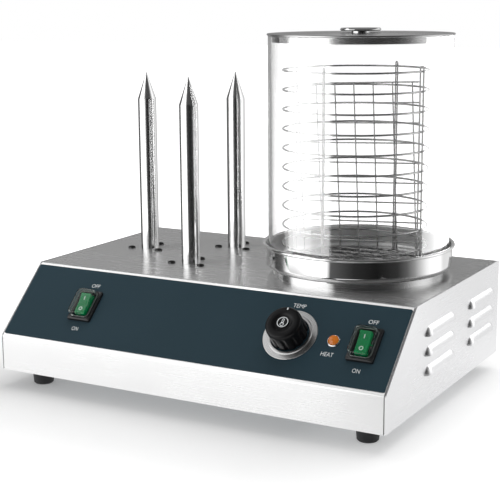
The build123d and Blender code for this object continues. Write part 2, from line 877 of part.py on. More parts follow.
def heater_bracket():
    """A strap that holds the heater and the bulb up from the base plate."""
    top = well_floor - heater_gap - heater_height
    strap_top = top - 2 * bulb_radius
    span = 2 * (heater_radius - bracket_end_inset)
    strap = block(bracket_width, span, bracket_thickness, strap_top - bracket_thickness)
    leg = block(bracket_width, bracket_thickness, strap_top - housing_bottom, housing_bottom)
    pad = block(bracket_pad_width, bracket_pad_length, 2 * bulb_radius, strap_top)
    pad_x = (bracket_width - bracket_pad_width) / 2
    for side in (-1, 1):
        strap += Pos(0, side * span / 2, 0) * leg
        for edge in (-1, 1):
            strap += Pos(edge * pad_x, side * span / 3, 0) * pad
    return strap


def hole_spots():
    """Staggered hole centres that stay clear of the plate's rim and feet."""
    spots = []
    row_step = plate_hole_pitch * math.sqrt(3) / 2
    reach = well_radius - bowl_wall - plate_hole_radius - plate_hole_margin
    rows = int(reach / row_step)
    for row in range(-rows, rows + 1):
        shift = 0.5 * plate_hole_pitch * (row % 2)
        count = int(reach / plate_hole_pitch) + 1
        for column in range(-count, count + 1):
            x = column * plate_hole_pitch + shift
            y = row * row_step
            if math.hypot(x, y) <= reach:
                spots.append(Pos(x, y, 0))
    return spots


def steam_plate():
    """The perforated plate, standing on three small feet in the bowl's shoulder."""
    plate = disc(plate_radius, plate_bottom, plate_thickness)
    hole = Pos(0, 0, plate_bottom) * RegularPolygon(plate_hole_radius, plate_hole_sides)
    hole = extrude(hole, plate_thickness)
    holes = [spot * hole for spot in hole_spots()]
    plate -= holes
    stand = (well_radius + bowl_bore - inner_corner) / 2
    for n in range(plate_foot_count):
        leg = disc(plate_foot_radius, shoulder, plate_lift)
        plate += on_circle(stand, n * 360 / plate_foot_count) * leg
    return plate


def glass_cylinder():
    """An open glass tube with ground edges."""
    edge = glass_edge
    return turned(
        (glass_bore + edge, plate_top), (glass_radius - edge, plate_top), (glass_radius, plate_top + edge),
        (glass_radius, glass_top - edge), (glass_radius - edge, glass_top), (glass_bore + edge, glass_top),
        (glass_bore, glass_top - edge), (glass_bore, plate_top + edge),
    )


def wire_bar(length, diameter):
    """A straight wire along X."""
    return Box(length, diameter, diameter)


def wire_ring(radius, diameter, bottom):
    inner = radius - diameter / 2
    outer = radius + diameter / 2
    return disc(outer, bottom, diameter) - disc(inner, bottom, diameter)


def basket():
    """Stacked wire rings, held by upright hairpin stays, over a floor of parallel wires."""
    levels = [basket_bottom + n * basket_ring_pitch for n in range(basket_rings)]
    rings = [wire_ring(basket_radius, basket_wire, level) for level in levels]
    height = (basket_rings - 1) * basket_ring_pitch + basket_wire + basket_loop_rise
    reach = basket_wire - weld_sink
    stays = []
    for angle in basket_stay_angles:
        turn = Rot(0, 0, angle) * Pos(basket_radius, 0, 0)
        outline = block(2 * reach + basket_wire, basket_wire, height, basket_bottom)
        window = block(2 * reach - basket_wire, basket_wire, height - basket_wire, basket_bottom)
        stays.append(turn * (outline - window))
    floor = []
    for n in range(basket_floor_wires):
        y = (n - (basket_floor_wires - 1) / 2) * basket_floor_pitch
        half = math.sqrt(basket_radius ** 2 - y ** 2)
        floor.append(Pos(0, y, basket_bottom + basket_wire / 2) * wire_bar(2 * half, basket_wire))
    return rings[0] + rings[1:] + stays + floor


def divider():
    """A flat welded mesh. It stands on the middle floor wire, turned and leaning a little."""
    width = (divider_columns - 1) * divider_mesh
    height = divider_foot + (divider_rows - 1) * divider_mesh + divider_wire / 2
    layer = divider_wire - weld_sink
    wires = []
    for n in range(divider_columns):
        upright = block(divider_wire, divider_wire, height, 0)
        wires.append(Pos(n * divider_mesh - width / 2, 0, 0) * upright)
    for n in range(divider_rows):
        bar = wire_bar(width + 2 * divider_overhang, divider_wire)
        wires.append(Pos(0, layer, divider_foot + n * divider_mesh) * bar)
    mesh = wires[0] + wires[1:]
    corner = width / 2 + divider_wire
    drop = corner * math.sin(math.radians(divider_lean))
    drop += divider_wire * math.sin(math.radians(divider_tip))
    middle = width / 2 * math.sin(math.radians(divider_turn))
    stand = Pos(divider_offset_x, middle, basket_floor_top + seat_gap + drop)
    tilt = Rot(0, 0, divider_turn) * Rot(divider_tip, 0, 0) * Rot(0, -divider_lean, 0)
    return stand * tilt * mesh


def lid():
    """A thin lid: a hemmed edge on the glass, a low dome and a skirt inside the glass."""
    edge_radius = glass_radius + lid_overhang
    hem_radius = edge_radius - lid_hem_width
    skirt = glass_bore - lid_skirt_clearance
    under = lid_top - lid_sheet
    flat = lid_knob_neck_radius + lid_flat_margin
    cover = turned(
        (0, under + lid_dome), (flat, under + lid_dome), (skirt - lid_sheet, under),
        (skirt - lid_sheet, glass_top - lid_skirt_depth),
        (skirt, glass_top - lid_skirt_depth), (skirt, under), (hem_radius, under), (hem_radius, glass_top),
        (edge_radius, glass_top), (edge_radius, lid_top - lid_edge), (edge_radius - lid_edge, lid_top),
        (skirt, lid_top), (flat, lid_top + lid_dome), (0, lid_top + lid_dome),
    )
    return cover - disc(lid_screw_radius, under, 3 * lid_sheet + lid_dome)


def lid_knob():
    """A low wide knob with a dished top, on a narrower neck."""
    base = lid_top + lid_dome
    neck_top = base + lid_knob_neck_height
    lip = neck_top + lid_knob_lip
    high = base + lid_knob_height
    knob_body = turned(
        (0, base), (lid_knob_neck_radius, base), (lid_knob_neck_radius, neck_top),
        (lid_knob_radius - lid_knob_lip_slope, lip), (lid_knob_radius, lip + lid_knob_lip_slope),
        (lid_knob_radius - lid_knob_edge, high),
        (lid_knob_neck_radius, high - lid_knob_dish_edge), (0, high - lid_knob_dish),
    )
    return knob_body - disc(lid_screw_radius, base, lid_screw_length - lid_sheet)


def lid_screw():
    """The screw that holds the knob from below the lid."""
    seat = lid_top - lid_sheet + lid_dome
    head = disc(lid_screw_head_radius, seat - lid_screw_head_height, lid_screw_head_height)
    head = chamfer(head.edges().sort_by(Axis.Z)[0], lid_screw_head_edge)
    return head + disc(lid_screw_radius, seat, lid_screw_length)


# Spikes -------------------------------------------------------------------------------


def spike_spots():
    group = Pos(spike_group_x, spike_group_y, 0)
    step = 360 / len(spike_names)
    spots = {}
    for n, name in enumerate(spike_names):
        spots[name] = group * on_circle(spike_group_radius, (n + 0.5) * step)
    return spots


def spike_screw_places():
    step = 360 / spike_screw_count
    return [on_circle(spike_screw_circle, (n + 0.75) * step) for n in range(spike_screw_count)]


def spike():
    """A pointed tube that stands on the top sheet, with a spigot through it."""
    base = housing_top
    cone = base + spike_length - spike_cone_length
    tip = base + spike_length
    bottom = base - spike_spigot_length
    return turned(
        (spike_bore_radius, bottom), (spike_spigot_radius, bottom), (spike_spigot_radius, base),
        (spike_radius, base), (spike_radius, cone), (spike_tip_radius, tip), (0, tip),
        (0, bottom + spike_bore_length), (spike_bore_radius, bottom + spike_bore_length),
    )


def spike_flange():
    """The plate that clamps a spike from inside the housing."""
    top = housing_top - sheet
    plate = disc(flange_radius, top - flange_thickness, flange_thickness)
    plate -= disc(spike_spigot_radius, top - flange_thickness, flange_thickness)
    for place in spike_screw_places():
        plate -= place * disc(screw_radius, top - flange_thickness, flange_thickness)
    return plate


def cartridge():
    """The cartridge heater in a spike's bore, with its tail below."""
    bottom = housing_top - spike_spigot_length - cartridge_tail
    heater = disc(cartridge_radius, bottom, cartridge_length)
    return chamfer(heater.edges().sort_by(Axis.Z)[-1], cartridge_edge)


def spike_screws():
    fastener = Pos(0, 0, housing_top) * screw(sheet + flange_thickness + spike_screw_reach)
    screws = []
    for spot in spike_spots().values():
        for place in spike_screw_places():
            screws.append(spot * place * fastener)
    return screws


# Mains entry --------------------------------------------------------------------------


def cord_entry():
    """The bushing's place on the rear panel. Its Z points out of the housing."""
    return Pos(cord_entry_x, half_depth, housing_bottom + cord_entry_height) * Rot(-90, 0, 0)


def cord_bushing():
    """A strain-relief bushing, clamped through the rear panel by its nut."""
    inner = -sheet - bushing_nut_height
    return turned(
        (bushing_bore_radius, inner), (bushing_neck_radius, inner), (bushing_neck_radius, 0),
        (bushing_radius, 0), (bushing_radius, bushing_rim),
        (bushing_radius - bushing_slope, bushing_proud), (bushing_bore_radius, bushing_proud),
    )


def bushing_nut():
    nut = extrude(RegularPolygon(bushing_radius, 6), -bushing_nut_height)
    nut -= disc(bushing_neck_radius, -bushing_nut_height, bushing_nut_height)
    return Pos(0, 0, -sheet) * nut


def terminal_block():
    """A screw terminal block on the base plate."""
    body = block(terminal_width, terminal_depth, terminal_height, 0)
    pitch = terminal_width / terminal_ways
    screw_way = disc(terminal_way_radius, terminal_height - terminal_way_depth, terminal_way_depth)
    tunnel = Rot(90, 0, 0) * Cylinder(terminal_way_radius, 2 * terminal_depth)
    for n in range(terminal_ways):
        x = (n - (terminal_ways - 1) / 2) * pitch
        body -= Pos(x, 0, 0) * screw_way
        body -= Pos(x, 0, terminal_way_depth) * tunnel
    return Pos(cord_entry_x + terminal_offset_x, half_depth - terminal_inset, housing_bottom) * body


def earth_stud():
    """The earthing stud on the base plate, with its washer and nut."""
    stud = disc(screw_radius, 0, earth_stud_length)
    washer = disc(earth_washer_radius, 0, earth_washer_height)
    nut = extrude(Pos(0, 0, earth_washer_height) * RegularPolygon(nut_radius, 6), nut_height)
    place = Pos(cord_entry_x - earth_offset_x, half_depth - earth_inset, housing_bottom)
    return place * (stud + washer + nut)


# Assembly -----------------------------------------------------------------------------


def housing_nodes():
    right = right_side_panel()
    nodes = {
        "housing_wrap": housing_wrap(),
        "side_panel_right": right,
        "side_panel_left": mirror(right, Plane.YZ),
        "rear_panel": rear_panel(),
        "base_plate": base_plate(),
        "rear_screws": [spot * screw(3 * sheet) for spot in rear_screw_spots()],
        "base_screws": [spot * screw(base_sheet + 3 * sheet) for spot in base_screw_spots()],
        "foot_screws": [spot * foot_screw() for spot in foot_spots().values()],
        "foot_nuts": [spot * hex_nut(housing_bottom) for spot in foot_spots().values()],
    }
    for name, spot in foot_spots().items():
        nodes["foot_" + name] = spot * foot()
    return nodes


def panel_nodes():
    nodes = {"control_overlay": control_overlay()}
    for name, x in (("left", left_switch_x), ("right", right_switch_x)):
        spot = panel * Pos(x, 0, 0)
        nodes["switch_body_" + name] = spot * switch_body()
        nodes["switch_bezel_" + name] = spot * switch_bezel()
        nodes["splash_cover_" + name] = spot * splash_cover()
        nodes["rocker_" + name] = spot * rocker()
    spot = panel * Pos(knob_x, 0, 0)
    nodes["thermostat_body"] = spot * thermostat_body()
    nodes["thermostat_shaft"] = spot * shaft()
    places = [Pos(side * thermostat_screw_spacing / 2, 0, 0) for side in (-1, 1)]
    nodes["thermostat_screws"] = [spot * place * thermostat_screw() for place in places]
    nodes["thermostat_capillary"] = capillary()
    nodes["dial_ring"] = spot * dial_ring()
    nodes["thermostat_knob"] = spot * knob()
    nodes["knob_pointer"] = spot * knob_pointer()
    nodes["knob_cap"] = spot * knob_cap()
    spot = panel * Pos(lamp_x, 0, 0)
    nodes["lamp_bezel"] = spot * lamp_bezel()
    nodes["lamp_lens"] = spot * lamp_lens()
    nodes["lamp_body"] = spot * lamp_body()
    return nodes


def steamer_nodes():
    return {
        "bowl_collar": stack * bowl_collar(),
        "water_bowl": stack * water_bowl(),
        "bowl_heater": stack * bowl_heater(),
        "heater_bracket": stack * heater_bracket(),
        "steam_plate": stack * steam_plate(),
        "glass_cylinder": stack * glass_cylinder(),
        "basket": stack * basket_place * basket(),
        "basket_divider": stack * basket_place * divider(),
        "lid": stack * lid(),
        "lid_knob": stack * lid_knob(),
        "lid_screw": stack * lid_screw(),
    }


def spike_nodes():
    nodes = {"spike_screws": spike_screws()}
    for name, spot in spike_spots().items():
        nodes["spike_" + name] = spot * spike()
        nodes["spike_flange_" + name] = spot * spike_flange()
        nodes["spike_heater_" + name] = spot * cartridge()
    return nodes


def mains_nodes():
    return {
        "cord_bushing": cord_entry() * cord_bushing(),
        "bushing_nut": cord_entry() * bushing_nut(),
        "terminal_block": terminal_block(),
        "earth_stud": earth_stud(),
    }


def write(name, shape):
    """Write one node, made of one solid or of a list of separate ones."""
    if isinstance(shape, list):
        shape = Compound(children=shape)
    export_step(shape, os.path.join("parts", name + ".step"))


def main():
    os.makedirs("parts", exist_ok=True)
    nodes = {}
    for group in (housing_nodes(), panel_nodes(), steamer_nodes(), spike_nodes(), mains_nodes()):
        nodes.update(group)
    for name, shape in nodes.items():
        write(name, shape)


main()
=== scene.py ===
import json
import math

import bmesh
import bpy
from mathutils import Matrix, Vector

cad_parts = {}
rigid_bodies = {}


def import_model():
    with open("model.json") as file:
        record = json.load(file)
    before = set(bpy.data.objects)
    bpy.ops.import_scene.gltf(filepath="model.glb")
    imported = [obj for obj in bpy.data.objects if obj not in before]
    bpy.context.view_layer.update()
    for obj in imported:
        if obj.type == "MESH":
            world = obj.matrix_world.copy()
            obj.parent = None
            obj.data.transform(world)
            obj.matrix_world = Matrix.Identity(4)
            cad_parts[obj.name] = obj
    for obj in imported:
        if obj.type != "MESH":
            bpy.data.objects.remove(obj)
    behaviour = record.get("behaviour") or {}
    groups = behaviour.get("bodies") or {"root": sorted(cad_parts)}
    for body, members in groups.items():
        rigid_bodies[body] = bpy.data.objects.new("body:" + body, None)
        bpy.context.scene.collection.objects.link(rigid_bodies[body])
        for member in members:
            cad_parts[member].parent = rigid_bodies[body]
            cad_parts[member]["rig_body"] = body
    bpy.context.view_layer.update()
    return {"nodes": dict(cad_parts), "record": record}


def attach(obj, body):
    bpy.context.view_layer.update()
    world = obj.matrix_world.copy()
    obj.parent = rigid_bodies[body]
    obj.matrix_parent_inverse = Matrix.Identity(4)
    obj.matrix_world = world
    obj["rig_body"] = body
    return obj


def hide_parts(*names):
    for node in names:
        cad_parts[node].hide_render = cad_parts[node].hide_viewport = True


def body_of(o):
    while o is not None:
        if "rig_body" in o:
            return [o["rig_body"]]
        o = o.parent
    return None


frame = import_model()
scene = bpy.context.scene

# Hot dog steamer. Shapes are drawn in millimetres in their own place and set down in metres.
MM = 0.001

# The housing: its outside faces, its sheet and the screws that hold it.
HOUSING_TOP = 130.0
HOUSING_SIDE = 235.0
HOUSING_BACK = 165.0
HOUSING_FLOOR = 20.0
SHEET = 1.2
SCREW_LINE = HOUSING_SIDE - SHEET - 6.0
SPIKES = {"left": (-168.0, 39.8), "front": (-75.75, -13.46), "rear": (-75.75, 93.06)}
SPIKE_SCREWS = 22.5

# The control slope. PANEL_FACE is the film's face above the steel.
PANEL_TILT = math.atan2(71.0, 75.0)
PANEL_MIDDLE = (0.0, -127.5, 94.5)
PANEL_FACE = 0.8
SWITCHES = {"left": -142.7, "right": 196.5}
KNOB_X = 113.4
LAMP_X = 162.3

# The steam cylinder: what stands round one upright axis, and the heights that its parts rest at.
STACK = (115.0, 33.0)
BASKET = (111.1, 31.1)
WELL_RADIUS = 92.3
BOWL_RADIUS = 102.5
BOWL_WALL = 1.0
COLLAR_TOP = 137.5
SHOULDER = 138.5
PLATE_TOP = 141.08
PLATE_SHEET = 1.0
PLATE_HOLE = 3.2
GLASS_INSIDE = 97.0
GLASS_OUTSIDE = 100.0
GLASS_TOP = 391.08
LID_TOP = 392.88


# Shapes -------------------------------------------------------------------------------


def standing(x, y, z=0.0):
    """A place on the table's frame."""
    return Matrix.Translation(Vector((x, y, z)) * MM) @ Matrix.Scale(MM, 4)


def on_panel(x, out=0.0):
    """A place on the control slope: X across, Y up the slope and Z out of it."""
    middle = Matrix.Translation(Vector(PANEL_MIDDLE) * MM)
    tilt = Matrix.Rotation(PANEL_TILT, 4, "X")
    return middle @ tilt @ Matrix.Translation(Vector((x, 0, out)) * MM) @ Matrix.Scale(MM, 4)


def softened(corners, steps, closed=True):
    """Round a section's corners. Each corner is (x, y) or (x, y, radius)."""
    points = []
    for n, corner in enumerate(corners):
        here = Vector(corner[:2])
        if len(corner) == 2 or (not closed and n in (0, len(corners) - 1)):
            points.append((here.x, here.y))
            continue
        before = (Vector(corners[n - 1][:2]) - here).normalized()
        after = (Vector(corners[(n + 1) % len(corners)][:2]) - here).normalized()
        half = before.angle(after) / 2
        centre = here + (before + after).normalized() * corner[2] / math.sin(half)
        start = here + before * corner[2] / math.tan(half) - centre
        side = 1 if before.x * after.y - before.y * after.x < 0 else -1
        for k in range(steps + 1):
            turn = side * (math.pi - 2 * half) * k / steps
            x = start.x * math.cos(turn) - start.y * math.sin(turn)
            y = start.x * math.sin(turn) + start.y * math.cos(turn)
            points.append((centre.x + x, centre.y + y))
    return points


def rounded_rectangle(width, length, corner):
    x, y = width / 2, length / 2
    return softened([(x, y, corner), (-x, y, corner), (-x, -y, corner), (x, -y, corner)], 6)


def circle(radius, height, steps, y=0.0, shift=0.0):
    """Points round an upright axis, or the one point on it. A shift turns them by a share of a step."""
    if radius < 1e-6:
        return [(0.0, y, height)]
    angles = [2 * math.pi * (n + shift) / steps for n in range(steps)]
    return [(radius * math.cos(angle), y + radius * math.sin(angle), height) for angle in angles]


def rows_of(shape, levels):
    """Vertices along closed outlines, each (points, height)."""
    return [[shape.verts.new((x, y, height)) for x, y in points] for points, height in levels]


def skin(shape, rows):
    """Faces from each closed row of vertices to the next. A row of one vertex is a tip."""
    for low, high in zip(rows, rows[1:]):
        steps = max(len(low), len(high))
        for n in range(steps if steps > 1 else 0):
            after = n + 1
            corners = (low[n % len(low)], low[after % len(low)],
                       high[after % len(high)], high[n % len(high)])
            shape.faces.new(list(dict.fromkeys(corners)))


def turned(section, steps=192, closed=True):
    """Turn a section of (radius, height) points about Z."""
    shape = bmesh.new()
    rows = [[shape.verts.new(point) for point in circle(radius, height, steps)]
            for radius, height in section]
    skin(shape, rows + rows[:1] if closed else rows)
    return shape


def lofted(levels, ring=False):
    """Join closed outlines, each (points, height), from one to the next."""
    shape = bmesh.new()
    rows = rows_of(shape, levels)
    if not ring:
        shape.faces.new(rows[0])
        shape.faces.new(rows[-1])
    skin(shape, rows + rows[:1] if ring else rows)
    return shape


def flat_ring(outer, inner, height, steps=48, y=0.0):
    """A thin printed ring lying at a height."""
    shape = bmesh.new()
    skin(shape, [[shape.verts.new(point) for point in circle(radius, height, steps, y)]
                 for radius in (outer, inner)])
    return shape


def flat_form(points):
    """A thin printed form lying at no height."""
    shape = bmesh.new()
    shape.faces.new([shape.verts.new((x, y, 0)) for x, y in points])
    bmesh.ops.triangulate(shape, faces=shape.faces)
    return shape


def as_mesh(name, shape):
    """Close a bmesh into a plain mesh."""
    mesh = bpy.data.meshes.new(name)
    shape.to_mesh(mesh)
    shape.free()
    return mesh


def as_shape(mesh):
    """Open a plain mesh as a bmesh, and drop the mesh."""
    shape = bmesh.new()
    shape.from_mesh(mesh)
    bpy.data.meshes.remove(mesh)
    return shape


def joined(*shapes):
    """Several bmeshes as one."""
    whole = bmesh.new()
    for shape in shapes:
        mesh = as_mesh("part", shape)
        whole.from_mesh(mesh)
        bpy.data.meshes.remove(mesh)
    return whole


def placed(name, data):
    """A new object of the scene."""
    holder = bpy.data.objects.new(name, data)
    scene.collection.objects.link(holder)
    return holder


def evaluated(holder):
    """The plain mesh that an object comes to, with the object itself dropped."""
    bpy.context.view_layer.update()
    graph = bpy.context.evaluated_depsgraph_get()
    mesh = bpy.data.meshes.new_from_object(holder.evaluated_get(graph))
    bpy.data.objects.remove(holder)
    return mesh


def crease(shape, degrees):
    """Smooth shading, with the edges sharper than this left crisp."""
    for face in shape.faces:
        face.smooth = True
    for edge in shape.edges:
        edge.smooth = len(edge.link_faces) == 2 and edge.calc_face_angle(0) < math.radians(degrees)


def even_out(piece):
    """Let each vertex's normal follow its largest face, so that flats and walls stay true."""
    even = piece.modifiers.new("even", "WEIGHTED_NORMAL")
    even.keep_sharp = True
    even.weight = 100


def settle(name, body, mesh, finish, nodes):
    """Give a finished mesh its body and any nodes that it stands for."""
    piece = placed(name, mesh)
    mesh.materials.clear()
    mesh.materials.append(finish)
    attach(piece, body)
    if nodes:
        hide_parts(*nodes)
    return piece


def made(name, body, shape, place, finish, nodes=(), sharp=35, outward=True):
    """Set a bmesh down in its place as a piece."""
    if outward:
        bmesh.ops.recalc_face_normals(shape, faces=shape.faces)
    shape.transform(place)
    crease(shape, sharp)
    piece = settle(name, body, as_mesh(name, shape), finish, nodes)
    even_out(piece)
    return piece


def outline_edges(shape, plane):
    """The edges round a flat panel that lies on X = +-plane, and none of those round its openings."""
    found = []
    for edge in shape.edges:
        off_plane = any(abs(abs(vert.co.x) - plane) > 0.05 * MM for vert in edge.verts)
        if off_plane or len(edge.link_faces) != 2 or edge.calc_face_angle(0) < math.radians(60):
            continue
        side = min(edge.link_faces, key=lambda face: abs(face.normal.x)).normal
        reach = max(vert.co.dot(side) for vert in shape.verts)
        if reach - edge.verts[0].co.dot(side) < 0.3 * MM:
            found.append(edge)
    return found


def pressed(node, finish, seam=None, rolled=None):
    """A merged copy of a sheet or moulded node, smooth over its folds and true on its flats.
    A seam pulls the copy's ends in from +-X, so that the joint shows as a dark line, and a rolled
    panel has its outer edge rounded by that much."""
    shape = bmesh.new()
    shape.from_mesh(frame["nodes"][node].data)
    bmesh.ops.remove_doubles(shape, verts=shape.verts, dist=2e-6)
    if seam:
        end = max(vert.co.x for vert in shape.verts)
        for vert in shape.verts:
            if abs(vert.co.x) > end - 0.05 * MM:
                vert.co.x -= math.copysign(seam * MM, vert.co.x)
    if rolled:
        bmesh.ops.bevel(shape, geom=outline_edges(shape, HOUSING_SIDE * MM), offset=rolled * MM,
                        segments=4, profile=0.5, affect="EDGES", clamp_overlap=True)
    crease(shape, 24)
    name = node + "_skin"
    body = body_of(frame["nodes"][node])[0]
    piece = settle(name, body, as_mesh(name, shape), finish, (node,))
    even_out(piece)
    return piece


# Geometry Nodes -----------------------------------------------------------------------


def fill(tree, node, inputs):
    """Fill a node's inputs: a value is set, and a socket or a node's first output is linked."""
    for socket, value in inputs.items():
        for item in value if isinstance(value, list) else [value]:
            if isinstance(item, bpy.types.Node):
                item = item.outputs[0]
            if isinstance(item, bpy.types.NodeSocket):
                tree.links.new(item, node.inputs[socket])
            else:
                node.inputs[socket].default_value = item


def add(tree, kind, inputs=None, **settings):
    """Add a node, set its properties and fill or link its inputs."""
    node = tree.nodes.new(kind)
    for key, value in settings.items():
        setattr(node, key, value)
    fill(tree, node, inputs or {})
    return node


def new_tree(name, sizes):
    """A Geometry Nodes tree with named sizes. Returns the tree and its inputs."""
    tree = bpy.data.node_groups.new(name, "GeometryNodeTree")
    tree.interface.new_socket("Geometry", in_out="INPUT", socket_type="NodeSocketGeometry")
    for label, kind in sizes.items():
        tree.interface.new_socket(label, in_out="INPUT", socket_type="NodeSocket" + kind)
    tree.interface.new_socket("Geometry", in_out="OUTPUT", socket_type="NodeSocketGeometry")
    return tree, tree.nodes.new("NodeGroupInput").outputs


def end_tree(tree, geometry, finish):
    """Close a tree with Realize Instances and Set Material."""
    real = add(tree, "GeometryNodeRealizeInstances", {"Geometry": geometry})
    smooth = add(tree, "GeometryNodeSetShadeSmooth", {"Geometry": real})
    dressed = add(tree, "GeometryNodeSetMaterial", {"Geometry": smooth, "Material": finish})
    add(tree, "NodeGroupOutput", {"Geometry": dressed})
    return tree


def grown(name, tree, sizes, spots=((0, 0, 0),), axis=None):
    """Run a tree on a mesh of points and return the plain mesh that it makes."""
    base = bpy.data.meshes.new(name)
    base.from_pydata([tuple(spot) for spot in spots], [], [])
    if axis:
        lay = base.attributes.new("axis", "FLOAT_VECTOR", "POINT")
        for point in lay.data:
            point.vector = axis
    holder = placed(name, base)
    run = holder.modifiers.new(name, "NODES")
    run.node_group = tree
    for item in tree.interface.items_tree:
        if item.in_out == "INPUT" and item.name in sizes:
            run[item.identifier] = sizes[item.name]
    mesh = evaluated(holder)
    bpy.data.meshes.remove(base)
    return mesh


def swept(tree, curve, radius):
    """Round wire along a curve."""
    profile = add(tree, "GeometryNodeCurvePrimitiveCircle", {"Resolution": 10, "Radius": radius})
    return add(tree, "GeometryNodeCurveToMesh",
               {"Curve": curve, "Profile Curve": profile, "Fill Caps": True})


def basket_tree(finish):
    """Stacked rings, floor wires and hairpin stays of one basket. Its points are the stays' places."""
    tree, size = new_tree("wire basket", {
        "Ring radius": "Float", "Wire": "Float", "Rings": "Int", "Pitch": "Float",
        "Stay height": "Float", "Stay reach": "Float", "Stay wire": "Float",
        "Floor wires": "Int", "Floor pitch": "Float"})
    half = add(tree, "ShaderNodeMath", {0: size["Wire"], 1: 0.5}, operation="MULTIPLY")
    lowest = add(tree, "ShaderNodeCombineXYZ", {"Z": half})
    step = add(tree, "ShaderNodeCombineXYZ", {"Z": size["Pitch"]})
    heights = add(tree, "GeometryNodeMeshLine",
                  {"Count": size["Rings"], "Start Location": lowest, "Offset": step})
    ring = add(tree, "GeometryNodeCurvePrimitiveCircle", {"Resolution": 128, "Radius": size["Ring radius"]})
    rings = add(tree, "GeometryNodeInstanceOnPoints", {"Points": heights, "Instance": ring})
    # Hairpin: a rounded upright frame that holds the rings between its two legs.
    width = add(tree, "ShaderNodeMath", {0: size["Stay reach"], 1: 2.0}, operation="MULTIPLY")
    pin = add(tree, "GeometryNodeCurvePrimitiveQuadrilateral",
              {"Width": width, "Height": size["Stay height"]})
    bend = add(tree, "ShaderNodeMath", {0: size["Stay reach"], 1: 0.98}, operation="MULTIPLY")
    arch = add(tree, "GeometryNodeFilletCurve", {"Curve": pin, "Radius": bend, "Count": 8}, mode="POLY")
    rise = add(tree, "ShaderNodeMath", {0: size["Stay height"], 1: 0.5}, operation="MULTIPLY")
    lift = add(tree, "ShaderNodeCombineXYZ", {"Z": rise})
    upright = add(tree, "GeometryNodeTransform",
                  {"Geometry": arch, "Translation": lift, "Rotation": (math.pi / 2, 0, 0)})
    here = add(tree, "ShaderNodeSeparateXYZ", {0: add(tree, "GeometryNodeInputPosition")}).outputs
    angle = add(tree, "ShaderNodeMath", {0: here["Y"], 1: here["X"]}, operation="ARCTAN2")
    turn = add(tree, "ShaderNodeCombineXYZ", {"Z": angle})
    facing = add(tree, "FunctionNodeEulerToRotation", {0: turn})
    stays = add(tree, "GeometryNodeInstanceOnPoints",
                {"Points": size["Geometry"], "Instance": upright, "Rotation": facing})
    # Floor: parallel chords of the lowest ring.
    gaps = add(tree, "ShaderNodeMath", {0: size["Floor wires"], 1: -1.0}, operation="ADD")
    span = add(tree, "ShaderNodeMath", {0: gaps, 1: size["Floor pitch"]}, operation="MULTIPLY")
    first = add(tree, "ShaderNodeMath", {0: span, 1: -0.5}, operation="MULTIPLY")
    start = add(tree, "ShaderNodeCombineXYZ", {"Y": first, "Z": half})
    along = add(tree, "ShaderNodeCombineXYZ", {"Y": size["Floor pitch"]})
    rows = add(tree, "GeometryNodeMeshLine",
               {"Count": size["Floor wires"], "Start Location": start, "Offset": along})
    chord = add(tree, "GeometryNodeCurvePrimitiveLine", {"Start": (-1, 0, 0), "End": (1, 0, 0)})
    square = add(tree, "ShaderNodeMath", {0: size["Ring radius"], 1: 2.0}, operation="POWER")
    across = add(tree, "ShaderNodeMath", {0: here["Y"], 1: 2.0}, operation="POWER")
    rest = add(tree, "ShaderNodeMath", {0: square, 1: across}, operation="SUBTRACT")
    reach = add(tree, "ShaderNodeMath", {0: rest, 1: 0.5}, operation="POWER")
    stretch = add(tree, "ShaderNodeCombineXYZ", {"X": reach, "Y": 1.0, "Z": 1.0})
    floor = add(tree, "GeometryNodeInstanceOnPoints", {"Points": rows, "Instance": chord, "Scale": stretch})
    rounds = add(tree, "GeometryNodeJoinGeometry", {"Geometry": [rings, floor]})
    laid = add(tree, "GeometryNodeRealizeInstances", {"Geometry": rounds})
    stood = add(tree, "GeometryNodeRealizeInstances", {"Geometry": stays})
    thin = add(tree, "ShaderNodeMath", {0: size["Stay wire"], 1: 0.5}, operation="MULTIPLY")
    welded = add(tree, "GeometryNodeJoinGeometry",
                 {"Geometry": [swept(tree, laid, half), swept(tree, stood, thin)]})
    return end_tree(tree, welded, finish)


